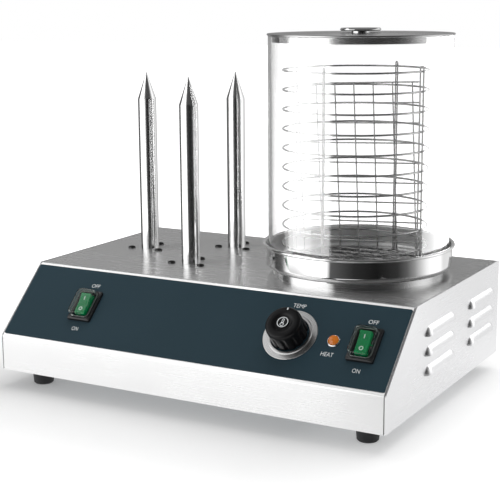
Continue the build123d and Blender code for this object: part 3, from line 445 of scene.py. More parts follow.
def divider_tree(finish):
    """A flat welded mesh: uprights in front, cross wires behind."""
    tree, size = new_tree("mesh divider", {
        "Wire": "Float", "Pitch": "Float", "Columns": "Int", "Rows": "Int",
        "Foot": "Float", "Overhang": "Float", "Layer": "Float"})
    half = add(tree, "ShaderNodeMath", {0: size["Wire"], 1: 0.5}, operation="MULTIPLY")
    gaps = add(tree, "ShaderNodeMath", {0: size["Columns"], 1: -1.0}, operation="ADD")
    width = add(tree, "ShaderNodeMath", {0: gaps, 1: size["Pitch"]}, operation="MULTIPLY")
    edge = add(tree, "ShaderNodeMath", {0: width, 1: -0.5}, operation="MULTIPLY")
    lanes = add(tree, "ShaderNodeMath", {0: size["Rows"], 1: -1.0}, operation="ADD")
    rise = add(tree, "ShaderNodeMath", {0: lanes, 1: size["Pitch"]}, operation="MULTIPLY")
    crown = add(tree, "ShaderNodeMath", {0: rise, 1: size["Foot"]}, operation="ADD")
    top = add(tree, "ShaderNodeMath", {0: crown, 1: half}, operation="ADD")
    tall = add(tree, "ShaderNodeCombineXYZ", {"Z": top})
    upright = add(tree, "GeometryNodeCurvePrimitiveLine", {"End": tall})
    first = add(tree, "ShaderNodeCombineXYZ", {"X": edge})
    sideways = add(tree, "ShaderNodeCombineXYZ", {"X": size["Pitch"]})
    posts = add(tree, "GeometryNodeMeshLine",
                {"Count": size["Columns"], "Start Location": first, "Offset": sideways})
    uprights = add(tree, "GeometryNodeInstanceOnPoints", {"Points": posts, "Instance": upright})
    reach = add(tree, "ShaderNodeMath", {0: size["Overhang"], 1: edge}, operation="SUBTRACT")
    left = add(tree, "ShaderNodeMath", {0: reach, 1: -1.0}, operation="MULTIPLY")
    left_end = add(tree, "ShaderNodeCombineXYZ", {"X": left})
    right_end = add(tree, "ShaderNodeCombineXYZ", {"X": reach})
    bar = add(tree, "GeometryNodeCurvePrimitiveLine", {"Start": left_end, "End": right_end})
    lowest = add(tree, "ShaderNodeCombineXYZ", {"Y": size["Layer"], "Z": size["Foot"]})
    upward = add(tree, "ShaderNodeCombineXYZ", {"Z": size["Pitch"]})
    steps = add(tree, "GeometryNodeMeshLine",
                {"Count": size["Rows"], "Start Location": lowest, "Offset": upward})
    bars = add(tree, "GeometryNodeInstanceOnPoints", {"Points": steps, "Instance": bar})
    curves = add(tree, "GeometryNodeJoinGeometry", {"Geometry": [uprights, bars]})
    laid = add(tree, "GeometryNodeRealizeInstances", {"Geometry": curves})
    return end_tree(tree, swept(tree, laid, half), finish)


def perforated_tree(finish):
    """A punched disc. Its points are the holes' centres."""
    tree, size = new_tree("punched disc", {"Radius": "Float", "Hole": "Float", "Thickness": "Float"})
    rim = add(tree, "GeometryNodeCurvePrimitiveCircle", {"Resolution": 144, "Radius": size["Radius"]})
    hole = add(tree, "GeometryNodeCurvePrimitiveCircle", {"Resolution": 14, "Radius": size["Hole"]})
    holes = add(tree, "GeometryNodeInstanceOnPoints", {"Points": size["Geometry"], "Instance": hole})
    loops = add(tree, "GeometryNodeJoinGeometry", {"Geometry": [rim, holes]})
    laid = add(tree, "GeometryNodeRealizeInstances", {"Geometry": loops})
    sheet = add(tree, "GeometryNodeFillCurve", {"Curve": laid}, mode="TRIANGLES")
    thick = add(tree, "GeometryNodeExtrudeMesh",
                {"Mesh": sheet, "Offset Scale": size["Thickness"], "Individual": False})
    under = add(tree, "GeometryNodeFlipFaces", {"Mesh": sheet})
    both = add(tree, "GeometryNodeJoinGeometry", {"Geometry": [thick, under]})
    whole = add(tree, "GeometryNodeMergeByDistance", {"Geometry": both, "Distance": 0.001})
    return end_tree(tree, whole, finish)


def screws_tree(finish):
    """One screw set on each point, with its head along the point's axis."""
    tree, size = new_tree("screws", {"Screw": "Object"})
    screw = add(tree, "GeometryNodeObjectInfo", {"Object": size["Screw"]})
    axis = add(tree, "GeometryNodeInputNamedAttribute", {"Name": "axis"}, data_type="FLOAT_VECTOR")
    facing = add(tree, "FunctionNodeAlignRotationToVector", {"Vector": axis}, axis="Z")
    screws = add(tree, "GeometryNodeInstanceOnPoints",
                 {"Points": size["Geometry"], "Instance": screw.outputs["Geometry"], "Rotation": facing})
    return end_tree(tree, screws, finish)


# Materials ----------------------------------------------------------------------------


def colour(code):
    """An sRGB hex colour as linear light."""
    parts = [int(code[n:n + 2], 16) / 255 for n in (1, 3, 5)]
    return (*[c / 12.92 if c <= 0.04045 else ((c + 0.055) / 1.055) ** 2.4 for c in parts], 1.0)


def material(name, inputs):
    """A material with one Principled shader, set on its own sockets. Where a pattern drives a
    socket as well, the value here is its middle."""
    made_of = bpy.data.materials.new(name)
    made_of.use_nodes = True
    shader = made_of.node_tree.nodes["Principled BSDF"]
    fill(made_of.node_tree, shader, inputs)
    return made_of, made_of.node_tree, shader


def noise(tree, size, detail):
    """Soft patches of a size in mm, fixed to the piece."""
    place = add(tree, "ShaderNodeTexCoord")
    return add(tree, "ShaderNodeTexNoise",
               {"Vector": place.outputs["Object"], "Scale": 1 / (size * MM), "Detail": detail})


def vary_gloss(tree, shader, pattern, low, high):
    """Let a pattern move the roughness between two values."""
    rough = add(tree, "ShaderNodeMapRange", {"Value": pattern, "To Min": low, "To Max": high})
    fill(tree, shader, {"Roughness": rough})


def dent(tree, shader, pattern, strength, depth):
    """Let a pattern dent the surface, to a depth in mm."""
    bump = add(tree, "ShaderNodeBump", {"Height": pattern, "Strength": strength, "Distance": depth * MM})
    fill(tree, shader, {"Normal": bump})


def brushed_stainless(name, grain, base="#D9D9D9"):
    """Satin-brushed 304 sheet: fine parallel scratches smear its reflections across the grain.
    The real scratches are about 0.1 mm apart; they are drawn 0.8 mm apart so that they show."""
    made_of, tree, shader = material(name, {
        "Base Color": colour(base), "Metallic": 1.0, "Roughness": 0.3, "Anisotropic": 0.9})
    facing = add(tree, "ShaderNodeNewGeometry")
    lay = tuple(1.0 if axis == grain else 0.0 for axis in "XYZ")
    across = add(tree, "ShaderNodeVectorMath", {0: facing.outputs["Normal"], 1: lay},
                 operation="CROSS_PRODUCT")
    scratch, long_way = 1 / (0.8 * MM), 1 / (60 * MM)
    scale = tuple(long_way if axis == grain else scratch for axis in "XYZ")
    place = add(tree, "ShaderNodeTexCoord")
    laid = add(tree, "ShaderNodeMapping", {"Vector": place.outputs["Object"], "Scale": scale})
    lines = add(tree, "ShaderNodeTexNoise", {"Vector": laid, "Scale": 1.0, "Detail": 3.0})
    both = add(tree, "ShaderNodeMath", {0: lines, 1: noise(tree, 70, 2.0)}, operation="ADD")
    rough = add(tree, "ShaderNodeMapRange",
                {"Value": both, "From Min": 0.6, "From Max": 1.4, "To Min": 0.22, "To Max": 0.30})
    fill(tree, shader, {"Tangent": across, "Roughness": rough})
    dent(tree, shader, lines, 0.12, 0.02)
    return made_of


def polished_stainless(name, base="#DCDCDC", rough=(0.04, 0.10), edge="#FFFFFF"):
    """Mirror-polished stainless: sharp reflections with faint wipe marks about 40 mm across."""
    made_of, tree, shader = material(name, {
        "Base Color": colour(base), "Metallic": 1.0, "Roughness": 0.07, "Specular Tint": colour(edge)})
    vary_gloss(tree, shader, noise(tree, 40, 4.0), *rough)
    return made_of


def bowl_stainless(name, centre):
    """Pressed stainless bowl: mirror-polished outside, and left satin inside."""
    made_of, tree, shader = material(name, {
        "Base Color": colour("#DCDCDC"), "Metallic": 1.0, "Roughness": 0.07})
    place = add(tree, "ShaderNodeTexCoord")
    facing = add(tree, "ShaderNodeNewGeometry")
    from_axis = add(tree, "ShaderNodeVectorMath", {0: place.outputs["Object"], 1: tuple(centre)},
                    operation="SUBTRACT")
    outward = add(tree, "ShaderNodeVectorMath", {0: from_axis, 1: facing.outputs["Normal"]},
                  operation="DOT_PRODUCT")
    polish = add(tree, "ShaderNodeMapRange",
                 {"Value": outward.outputs["Value"], "From Min": -0.01, "From Max": 0.01,
                  "To Min": 0.32, "To Max": 0.06})
    fill(tree, shader, {"Roughness": polish})
    return made_of


def ground_stainless(name):
    """Centreless-ground stainless bar: fine rings round the spike, 0.1 mm apart on the real one
    and drawn 0.7 mm apart, blur its reflections along its length."""
    made_of, tree, shader = material(name, {
        "Base Color": colour("#DADADA"), "Metallic": 1.0, "Roughness": 0.16})
    place = add(tree, "ShaderNodeTexCoord")
    streak, ring = 1 / (100 / 3 * MM), 1 / (0.7 * MM)
    laid = add(tree, "ShaderNodeMapping",
               {"Vector": place.outputs["Object"], "Scale": (streak, streak, ring)})
    rings = add(tree, "ShaderNodeTexNoise", {"Vector": laid, "Scale": 1.0, "Detail": 2.0})
    vary_gloss(tree, shader, rings, 0.12, 0.17)
    return made_of


def bright_wire(name, base):
    """Bright-drawn stainless wire, duller in short patches where it was drawn and welded."""
    made_of, tree, shader = material(name, {"Base Color": colour(base), "Metallic": 1.0, "Roughness": 0.2})
    vary_gloss(tree, shader, noise(tree, 9, 2.0), 0.14, 0.3)
    return made_of


def spun_stainless(name):
    """Spun and polished stainless: fine rings round the lid smear its reflections outwards."""
    made_of, tree, shader = material(name, {
        "Base Color": colour("#B6B6B6"), "Metallic": 1.0, "Roughness": 0.2, "Anisotropic": 0.8})
    vary_gloss(tree, shader, noise(tree, 30, 3.0), 0.16, 0.26)
    rings = add(tree, "ShaderNodeTangent", direction_type="RADIAL", axis="Z")
    fill(tree, shader, {"Tangent": rings})
    return made_of


def spun_aluminium(name, centre):
    """Spun and clear-lacquered aluminium: rings round the dial, drawn 0.5 mm apart."""
    made_of, tree, shader = material(name, {
        "Base Color": colour("#C6C6C6"), "Metallic": 1.0, "Roughness": 0.28})
    place = add(tree, "ShaderNodeTexCoord")
    centred = add(tree, "ShaderNodeMapping",
                  {"Vector": place.outputs["Object"], "Location": tuple(-c for c in centre)})
    far = add(tree, "ShaderNodeVectorMath", {0: centred}, operation="LENGTH")
    ring = add(tree, "ShaderNodeMath", {0: far.outputs["Value"], 1: 1 / (0.5 * MM)}, operation="MULTIPLY")
    lines = add(tree, "ShaderNodeTexNoise", {"W": ring, "Scale": 1.0, "Detail": 2.0}, noise_dimensions="1D")
    vary_gloss(tree, shader, lines, 0.2, 0.4)
    dent(tree, shader, lines, 0.6, 0.05)
    return made_of


def overlay_film(name):
    """Back-printed polyester film, slate blue-grey, with a fine-grained matte face."""
    made_of, tree, shader = material(name, {
        "Base Color": colour("#2E424B"), "Roughness": 0.55, "IOR": 1.5, "Specular IOR Level": 0.08})
    cloud = {"Factor": noise(tree, 90, 1.0), 6: colour("#2C4049"), 7: colour("#30444E")}
    tone = add(tree, "ShaderNodeMix", cloud, data_type="RGBA")
    fill(tree, shader, {"Base Color": tone.outputs[2]})
    dent(tree, shader, noise(tree, 0.6, 2.0), 0.15, 0.02)
    return made_of


def moulded(name, base, rough, grain=0.7, depth=0.03, gloss=0.5):
    """Injection-moulded plastic or rubber with the faint grain of its mould, sized in mm."""
    made_of, tree, shader = material(name, {
        "Base Color": colour(base), "Roughness": rough, "IOR": 1.5, "Specular IOR Level": gloss})
    mould = noise(tree, grain, 2.0)
    vary_gloss(tree, shader, mould, rough - 0.06, rough + 0.08)
    dent(tree, shader, mould, 0.2, depth)
    return made_of


def clear_solid(name, base, ior, rough):
    """Clear glass or soft plastic that light passes through, hazed a little in patches 50 mm across."""
    made_of, tree, shader = material(name, {
        "Base Color": colour(base), "Roughness": rough, "IOR": ior, "Transmission Weight": 1.0})
    vary_gloss(tree, shader, noise(tree, 50, 3.0), rough, rough + 0.02)
    return made_of


def tinted_plastic(name, base, glow, rough):
    """Translucent polycarbonate: colour from within, under a glossy moulded skin, and a faint painted glow
    in its own colour.
    """
    # The emission in the plastic's own colour is a painted glow.
    made_of, tree, shader = material(name, {
        "Base Color": colour(base), "Roughness": rough, "IOR": 1.58, "Subsurface Weight": 0.25,
        "Subsurface Scale": 3 * MM, "Emission Color": colour(base), "Emission Strength": glow})
    vary_gloss(tree, shader, noise(tree, 6, 2.0), rough - 0.04, rough + 0.06)
    return made_of


def plated(name, base, rough, spangle):
    """Zinc-coated or cast metal with soft crystal patches, sized in mm."""
    made_of, tree, shader = material(name, {"Base Color": colour(base), "Metallic": 1.0, "Roughness": rough})
    place = add(tree, "ShaderNodeTexCoord")
    patch = add(tree, "ShaderNodeTexVoronoi",
                {"Vector": place.outputs["Object"], "Scale": 1 / (spangle * MM)})
    vary_gloss(tree, shader, patch.outputs["Distance"], rough - 0.08, rough + 0.12)
    return made_of


def all_finishes():
    dial = on_panel(KNOB_X, PANEL_FACE).translation
    return {
        "stainless": brushed_stainless("brushed stainless sheet, grain across", "X"),
        "stainless_side": brushed_stainless("brushed stainless sheet, grain front to back", "Y", "#DADADB"),
        "plate": polished_stainless("bright stainless punched plate", "#CCCCCC", (0.10, 0.16)),
        "polished_steel": polished_stainless("polished stainless"),
        "spun_steel": spun_stainless("spun stainless lid"),
        "bowl_steel": bowl_stainless("pressed stainless bowl", standing(*STACK).translation),
        "chrome": polished_stainless("bright chrome plate", "#E2E4E6", (0.03, 0.08)),
        "spike_steel": ground_stainless("ground and polished stainless bar"),
        "wire": bright_wire("bright stainless wire", "#B4B4B4"),
        "fastener_steel": polished_stainless("dark screw steel", "#4A4A4A", (0.12, 0.20), "#505050"),
        "galvanised": plated("galvanised steel", "#A9ACAE", 0.42, 8.0),
        "heater_metal": plated("cast aluminium heater plate", "#A3A3A0", 0.55, 3.0),
        "copper_tube": plated("drawn copper tube", "#B87850", 0.32, 4.0),
        "overlay_print": overlay_film("slate printed film"),
        "ink": moulded("white screen ink", "#F4F8F9", 0.55, 0.5, 0.01),
        "black_plastic": moulded("black moulded thermoplastic", "#141517", 0.36),
        "knob_plastic": moulded("black phenolic knob", "#08080A", 0.34, gloss=0.2),
        "white_plastic": moulded("white moulded thermoplastic", "#DAD9D4", 0.42),
        "silver_plastic": spun_aluminium("spun aluminium dial", dial),
        "rubber": moulded("black rubber", "#16171A", 0.62, 1.2, 0.06),
        "glass": clear_solid("clear borosilicate glass", "#FFFFFF", 1.47, 0.02),
        "clear_cover": clear_solid("clear soft vinyl", "#E9F2EC", 1.30, 0.06),
        # The green key and the amber lens glow faintly, at 0.14 and 0.16: a painted glow.
        "green_plastic": tinted_plastic("translucent green polycarbonate", "#02804A", 0.14, 0.22),
        "amber_plastic": tinted_plastic("translucent amber polycarbonate", "#C8701E", 0.16, 0.12),
    }


# Housing ------------------------------------------------------------------------------


def dress_housing(finish):
    """The folded wrap, its panels and the feet. Returns the wrap and the louvred panel on the right."""
    wrap = pressed("housing_wrap", finish["stainless"], seam=0.8)
    pressed("side_panel_left", finish["stainless_side"], rolled=0.9)
    side = pressed("side_panel_right", finish["stainless_side"], rolled=0.9)
    pressed("rear_panel", finish["stainless"])
    pressed("base_plate", finish["galvanised"])
    pressed("control_overlay", finish["overlay_print"])
    for corner in ("front_left", "front_right", "rear_left", "rear_right"):
        pressed("foot_" + corner, finish["rubber"])
    return wrap, side


def screw_form(shank):
    """A pan-head screw with a cross recess, its head on Z = 0."""
    head = [(0.6, 2.5), (1.1, 2.5), (1.7, 2.45), (2.6, 2.3), (3.5, 2.0), (4.2, 1.5), (4.4, 1.1), (4.4, 0.0)]
    recess, recess_reach, steps = 1.2, 2.0, 16
    shape = bmesh.new()
    rows = [[shape.verts.new((0, 0, 0.8))]]
    for radius, height in head:
        row = []
        for n, (x, y, top) in enumerate(circle(radius, height, steps)):
            on_arm = n % 4 == 0 and radius < recess_reach
            row.append(shape.verts.new((x, y, top - recess if on_arm else top)))
        rows.append(row)
    for height in (0.0, -shank):
        rows.append([shape.verts.new(point) for point in circle(2.0, height, steps)])
    rows.append([shape.verts.new((0, 0, -shank - 0.6))])
    skin(shape, rows)
    bmesh.ops.recalc_face_normals(shape, faces=shape.faces)
    crease(shape, 40)
    return shape


def set_screws(node, spots, axis, shank, tree, finish):
    """One group of equal screws as a piece."""
    mesh = as_mesh("screw", screw_form(shank))
    model = placed("screw", mesh)
    whole = grown(node, tree, {"Screw": model}, spots, axis)
    bpy.data.objects.remove(model)
    whole.transform(Matrix.Scale(MM, 4))
    return settle(node + "_set", "base", whole, finish, (node,))


def set_all_screws(finish):
    steel = finish["fastener_steel"]
    tree = screws_tree(steel)
    round_spikes = [
        (x + SPIKE_SCREWS * math.cos(math.radians(degrees)),
         y + SPIKE_SCREWS * math.sin(math.radians(degrees)), HOUSING_TOP)
        for x, y in SPIKES.values() for degrees in (90, 210, 330)]
    set_screws("spike_screws", round_spikes, (0, 0, 1), 6.2, tree, steel)
    edge, high, low = SCREW_LINE, HOUSING_TOP - 8.0, HOUSING_FLOOR + 18.0
    rear = [(-edge + 18, high), (0, high), (edge - 18, high),
            (-edge, low), (edge, low), (-edge, high - 45), (edge, high - 45)]
    set_screws("rear_screws", [(x, HOUSING_BACK, z) for x, z in rear], (0, 1, 0), 3.6, tree, steel)
    below = (("base_screws", edge, 82.5, 18.5, 5.1), ("foot_screws", 202.5, 132.5, 9.0, 14.2))
    for node, across, back, height, shank in below:
        spots = [(x * across, y * back, height) for x in (-1, 1) for y in (-1, 1)]
        set_screws(node, spots, (0, 0, -1), shank, tree, steel)


# Control panel ------------------------------------------------------------------------


def bezel_form():
    """Splash frame: a square foot, a low rounded collar and the window through both."""
    # Each row is an outline's width, length, corner and height above the film.
    rows = [(20.0, 32.0, 4.0, 0.0), (29.5, 39.0, 1.5, 0.0), (29.5, 39.0, 1.5, 2.6), (29.2, 38.7, 1.5, 3.2),
            (28.3, 37.8, 1.6, 3.6), (26.6, 36.1, 5.6, 3.6), (26.0, 35.5, 6.0, 4.0), (25.8, 35.2, 6.0, 5.0),
            (25.3, 34.7, 5.8, 5.5), (20.4, 32.4, 4.7, 5.6), (19.4, 31.4, 4.5, 5.2), (19.4, 31.4, 4.5, 2.0)]
    return lofted([(rounded_rectangle(width, length, corner), PANEL_FACE + height)
                   for width, length, corner, height in rows], ring=True)


def cover_form():
    """Clear splash cover: an upright box with soft edges, clipped over the collar."""
    foot, crown, wall = PANEL_FACE + 5.7, PANEL_FACE + 12.4, 0.8
    shape = bmesh.new()
    skins = []
    for inset in (0.0, wall):
        width, length, top = 24.6 - 2 * inset, 33.6 - 2 * inset, crown - inset
        # Each row is how much narrower an outline is, its corner and its height.
        rows = [(0.0, 5.4, foot), (0.0, 5.4, top - 1.8), (0.5, 5.2, top - 1.0), (1.4, 4.8, top - 0.4),
                (3.0, 4.0, top)]
        skins.append(rows_of(shape, [(rounded_rectangle(width - less, length - less, corner - inset), height)
                                     for less, corner, height in rows]))
    for rows in skins:
        skin(shape, rows)
        shape.faces.new(rows[-1])
    skin(shape, [skins[0][0], skins[1][0]])
    return shape


ROCKER_PIVOT = 2.2


def rocker_height(y):
    """The dish of the rocker's face."""
    return 8.1 + 1.32 * (y / 12.5) ** 2


def rocker_form():
    """A dished rocker key with soft edges and a pin at each side."""
    dish = [(y, rocker_height(y)) for y in [-12.5 + 25.0 * n / 12 for n in range(13)]]
    edge = [(7.75, -4.2), (-7.75, -4.2), (-12.5, 1.5)] + dish + [(12.5, 1.5)]
    shape = bmesh.new()
    sides = [[shape.verts.new((x, y, z)) for y, z in edge] for x in (-6.4, 6.4)]
    shape.faces.new(sides[0])
    shape.faces.new(sides[1])
    skin(shape, sides)
    bmesh.ops.recalc_face_normals(shape, faces=shape.faces)
    crisp = [e for e in shape.edges if e.calc_face_angle(0) > math.radians(40)]
    bmesh.ops.bevel(shape, geom=crisp, offset=0.7, segments=3, affect="EDGES", profile=0.5)
    ends = softened([(0, -7.95), (1.25, -7.95, 0.2), (1.25, 7.95, 0.2), (0, 7.95)], 2, closed=False)
    pin = turned(ends, 20, closed=False)
    pin.transform(Matrix.Translation((0, 0, ROCKER_PIVOT)) @ Matrix.Rotation(math.pi / 2, 4, "Y"))
    return joined(shape, pin)


def rocker_marks():
    """The printed bar and ring, laid on the rocker's dish."""
    bar = flat_form(softened([(0.55, 4.2, 0.3), (0.55, 8.6, 0.3), (-0.55, 8.6, 0.3), (-0.55, 4.2, 0.3)], 2))
    ring = flat_ring(2.4, 1.35, 0, 32, -6.6)
    shape = joined(bar, ring)
    for vert in shape.verts:
        vert.co.z = rocker_height(vert.co.y) + 0.05
    return shape


def dress_switches(finish):
    pivot = Matrix.Translation((0, 0, ROCKER_PIVOT))
    tilt = pivot @ Matrix.Rotation(math.radians(7), 4, "X") @ pivot.inverted()
    for side, x in SWITCHES.items():
        body = side + "_rocker_body"
        place = on_panel(x)
        made("switch_frame_" + side, "base", bezel_form(), place, finish["black_plastic"],
             ("switch_bezel_" + side,), sharp=50)
        cover = made("clear_cover_" + side, "base", cover_form(), place, finish["clear_cover"],
                     ("splash_cover_" + side,), sharp=60)
        cover.visible_shadow = False
        made("rocker_key_" + side, body, rocker_form(), place @ tilt, finish["green_plastic"],
             ("rocker_" + side,), sharp=30)
        made("rocker_marks_" + side, body, rocker_marks(), place @ tilt, finish["ink"],
             outward=False)


# The knob's section: radius, height and how deep the scallops are there, from 0 to 1.
KNOB_ROWS = [
    (0.0, 2.6, 0), (6.0, 2.6, 0), (6.0, 11.6, 0), (16.8, 11.6, 0), (16.8, 2.6, 0), (19.2, 2.6, 0.9),
    (19.75, 3.2, 1.0), (19.7, 7.0, 1.0), (19.6, 11.0, 1.0), (19.5, 14.0, 1.0), (19.45, 16.5, 0.85),
    (19.4, 18.5, 0.5), (19.35, 20.0, 0.2), (19.3, 21.2, 0.0), (19.15, 22.6, 0), (18.7, 23.9, 0),
    (17.9, 24.8, 0), (16.8, 25.25, 0), (15.2, 25.4, 0), (12.4, 25.36, 0), (11.0, 25.2, 0), (10.0, 24.8, 0),
    (9.2, 24.3, 0), (8.2, 24.02, 0), (6.9, 24.0, 0), (0.0, 24.0, 0),
]
KNOB_CAP = 25.1


def knob_form():
    """A moulded grip with twelve scallops that fade below the rim, a dished face and a hollow."""
    steps, scallops, depth = 240, 12, 1.3
    shape = bmesh.new()
    rows = []
    for radius, height, share in KNOB_ROWS:
        row = []
        for n in range(steps if radius else 1):
            angle = 2 * math.pi * n / steps
            wave = max(0.0, math.cos(scallops * angle + math.pi)) ** 1.4
            reach = radius - depth * share * wave
            row.append(shape.verts.new((reach * math.cos(angle), reach * math.sin(angle), height)))
        rows.append(row)
    skin(shape, rows)
    return shape


def capsule(half_width, low, high):
    """An upright outline with round ends."""
    steps = 8
    points = []
    for middle, start in ((high, 0.0), (low, math.pi)):
        for n in range(steps + 1):
            angle = start + math.pi * n / steps
            points.append((half_width * math.cos(angle), middle + half_width * math.sin(angle)))
    return points


def cap_marks():
    """A ring and a plain thermometer, printed on the cap."""
    height = KNOB_CAP + 0.03
    ring = flat_ring(6.1, 5.3, height)
    tube = bmesh.new()
    skin(tube, rows_of(tube, [(capsule(half_width, -0.4, 3.0), height) for half_width in (1.25, 0.6)]))
    bulb = flat_ring(2.2, 1.5, height + 0.01, 32, -2.5)
    return joined(ring, tube, bulb)


def dress_knob(finish):
    place = on_panel(KNOB_X)
    ring = softened([(20.8, 0.8), (29.5, 0.8), (29.5, 1.8, 0.4), (23.9, 1.8, 0.3), (23.2, 2.8, 0.35),
                     (21.3, 2.8, 0.35), (20.8, 2.3, 0.2)], 4)
    made("dial_plate", "base", turned(ring), place, finish["silver_plastic"],
         ("dial_ring",), sharp=50)
    made("knob_grip", "knob_body", knob_form(), place, finish["knob_plastic"],
         ("thermostat_knob",), sharp=50)
    cap = softened([(0, 24.0), (6.5, 24.0), (6.5, KNOB_CAP, 0.4), (0, KNOB_CAP)], 4, closed=False)
    made("knob_button", "knob_body", turned(cap, 96, closed=False), place, finish["knob_plastic"],
         ("knob_cap",))
    made("knob_button_print", "knob_body", cap_marks(), place, finish["ink"], outward=False)
    bar = softened([(x, y, 0.5) for x, y in ((0.7, 17.3), (-0.7, 17.3), (-0.7, 14.7), (0.7, 14.7))], 3)
    made("knob_line", "knob_body", lofted([(bar, 24.9), (bar, 25.43)]), place, finish["ink"],
         ("knob_pointer",), sharp=40)


def lens_form():
    """A moulded lens with rows of flat facets that step round as they climb."""
    rings = [(5.7, 1.4), (5.7, 3.0), (5.2, 3.9), (4.1, 4.7), (2.6, 5.2), (1.0, 5.4)]
    steps = 14
    shape = bmesh.new()
    rows = []
    for k, (radius, height) in enumerate(rings):
        shift = 0.5 * (k % 2) if k > 1 else 0
        rows.append([shape.verts.new(point) for point in circle(radius, height, steps, shift=shift)])
    shape.faces.new(rows[0])
    shape.faces.new(rows[-1])
    for k, (low, high) in enumerate(zip(rows, rows[1:])):
        for n in range(steps):
            after = (n + 1) % steps
            if k < 1:
                shape.faces.new((low[n], low[after], high[after], high[n]))
            elif k % 2:
                shape.faces.new((low[n], low[after], high[n]))
                shape.faces.new((low[after], high[after], high[n]))
            else:
                shape.faces.new((low[n], high[after], high[n]))
                shape.faces.new((low[n], low[after], high[after]))
    return shape


def dress_lamp(finish):
    place = on_panel(LAMP_X)
    ring = softened([(4.0, -11.0), (4.8, -11.0), (4.8, 0.8), (7.0, 0.8), (7.0, 1.6, 0.3), (6.2, 2.6, 0.4),
                     (5.8, 2.6, 0.2), (5.8, 1.4), (4.0, 1.4)], 4)
    made("lamp_ring", "base", turned(ring, 72), place, finish["chrome"],
         ("lamp_bezel",), sharp=50)
    made("lamp_jewel", "base", lens_form(), place, finish["amber_plastic"],
         ("lamp_lens",), sharp=5)


def print_word(word, width, height, x, up):
    """A word printed on the film, stretched to its size."""
    text = bpy.data.curves.new(word, "FONT")
    text.body = word
    shape = as_shape(evaluated(placed(word, text)))
    xs = [vert.co.x for vert in shape.verts]
    ys = [vert.co.y for vert in shape.verts]
    middle = Matrix.Translation((-(min(xs) + max(xs)) / 2, -(min(ys) + max(ys)) / 2, 0))
    size = Matrix.Diagonal((width / (max(xs) - min(xs)), height / (max(ys) - min(ys)), 1, 1))
    shape.transform(Matrix.Translation((x, up, PANEL_FACE + 0.06)) @ size @ middle)
    return shape


def print_panel(finish):
    letter = 4.7
    words = []
    for x in SWITCHES.values():
        words.append(print_word("OFF", 10.8, letter, x, 27.6))
        words.append(print_word("ON", 8.2, letter, x, -29.4))
    words.append(print_word("TEMP", 14.6, letter, 111.2, 35.6))
    words.append(print_word("HEAT", 13.6, letter, 160.4, -15.8))
    made("panel_lettering", "base", joined(*words), on_panel(0), finish["ink"],
         outward=False)


# Steam cylinder -----------------------------------------------------------------------


def dress_bowl(finish):
    """The raised collar, and the bowl in it: a well, a shoulder, a wall and a rolled rim."""
    place = standing(*STACK)
    opening, flange, wall, under = WELL_RADIUS + 1.0, WELL_RADIUS + 11.5, 1.5, HOUSING_TOP - SHEET
    collar = softened([(opening, under - wall), (flange, under - wall), (flange, under),
                       (opening + wall, under), (opening + wall, COLLAR_TOP, 0.4),
                       (opening, COLLAR_TOP, 0.4)], 3)
    made("bowl_upstand", "base", turned(collar), place, finish["polished_steel"],
         ("bowl_collar",))
    floor, bead, rim = 104.5, 1.9, COLLAR_TOP + 27.8
    outer = softened([(0, floor), (WELL_RADIUS, floor, 5.0), (WELL_RADIUS, COLLAR_TOP),
                      (BOWL_RADIUS + BOWL_WALL, COLLAR_TOP, 7.0), (BOWL_RADIUS + BOWL_WALL, rim - 2 * bead)],
                     8, closed=False)
    inner = softened([(BOWL_RADIUS, rim - bead), (BOWL_RADIUS, SHOULDER, 6.0),
                      (WELL_RADIUS - BOWL_WALL, SHOULDER), (WELL_RADIUS - BOWL_WALL, floor + BOWL_WALL, 4.0),
                      (0, floor + BOWL_WALL)], 8, closed=False)
    turns = [math.pi * (-0.5 + 1.5 * n / 14) for n in range(15)]
    rolled = [(BOWL_RADIUS + bead + bead * math.cos(a), rim - bead + bead * math.sin(a)) for a in turns]
    made("steam_bowl", "bowl_body", turned(outer + rolled + inner, closed=False), place,
         finish["bowl_steel"], ("water_bowl",), sharp=40)


def plate_holes():
    """Staggered centres over the bowl's well, one row every 0.87 pitch."""
    pitch = 12.6
    step = pitch * math.sqrt(3) / 2
    reach = WELL_RADIUS - BOWL_WALL - PLATE_HOLE - 2.0
    rows = int(reach / step)
    count = int(reach / pitch) + 1
    spots = [(c * pitch + 0.5 * pitch * (r % 2), r * step, 0)
             for r in range(-rows, rows + 1) for c in range(-count, count + 1)]
    return [spot for spot in spots if math.hypot(spot[0], spot[1]) <= reach]


def dress_plate(finish):
    under = PLATE_TOP - PLATE_SHEET
    sizes = {"Radius": 100.2, "Hole": PLATE_HOLE, "Thickness": PLATE_SHEET}
    sheet = as_shape(grown("punched_plate", perforated_tree(finish["plate"]), sizes, plate_holes()))
    sheet.transform(Matrix.Translation((0, 0, under)))
    # Three feet stand in the middle of the bowl's shoulder.
    stand = (WELL_RADIUS + BOWL_RADIUS - 6.0) / 2
    section = softened([(0, SHOULDER), (1.6, SHOULDER, 0.3), (1.6, under), (0, under)], 3, closed=False)
    feet = []
    for spot in circle(stand, 0, 3):
        foot = turned(section, 20, closed=False)
        foot.transform(Matrix.Translation(spot))
        feet.append(foot)
    made("punched_plate", "plate_body", joined(sheet, *feet), standing(*STACK), finish["plate"],
         ("steam_plate",), sharp=40)


def dress_glass(finish):
    section = softened([(GLASS_INSIDE, PLATE_TOP, 0.8), (GLASS_OUTSIDE, PLATE_TOP, 0.8),
                        (GLASS_OUTSIDE, GLASS_TOP, 0.8), (GLASS_INSIDE, GLASS_TOP, 0.8)], 4)
    glass = made("glass_tube", "glass_body", turned(section, 256), standing(*STACK), finish["glass"],
                 ("glass_cylinder",), sharp=60)
    glass.visible_shadow = False
    return glass


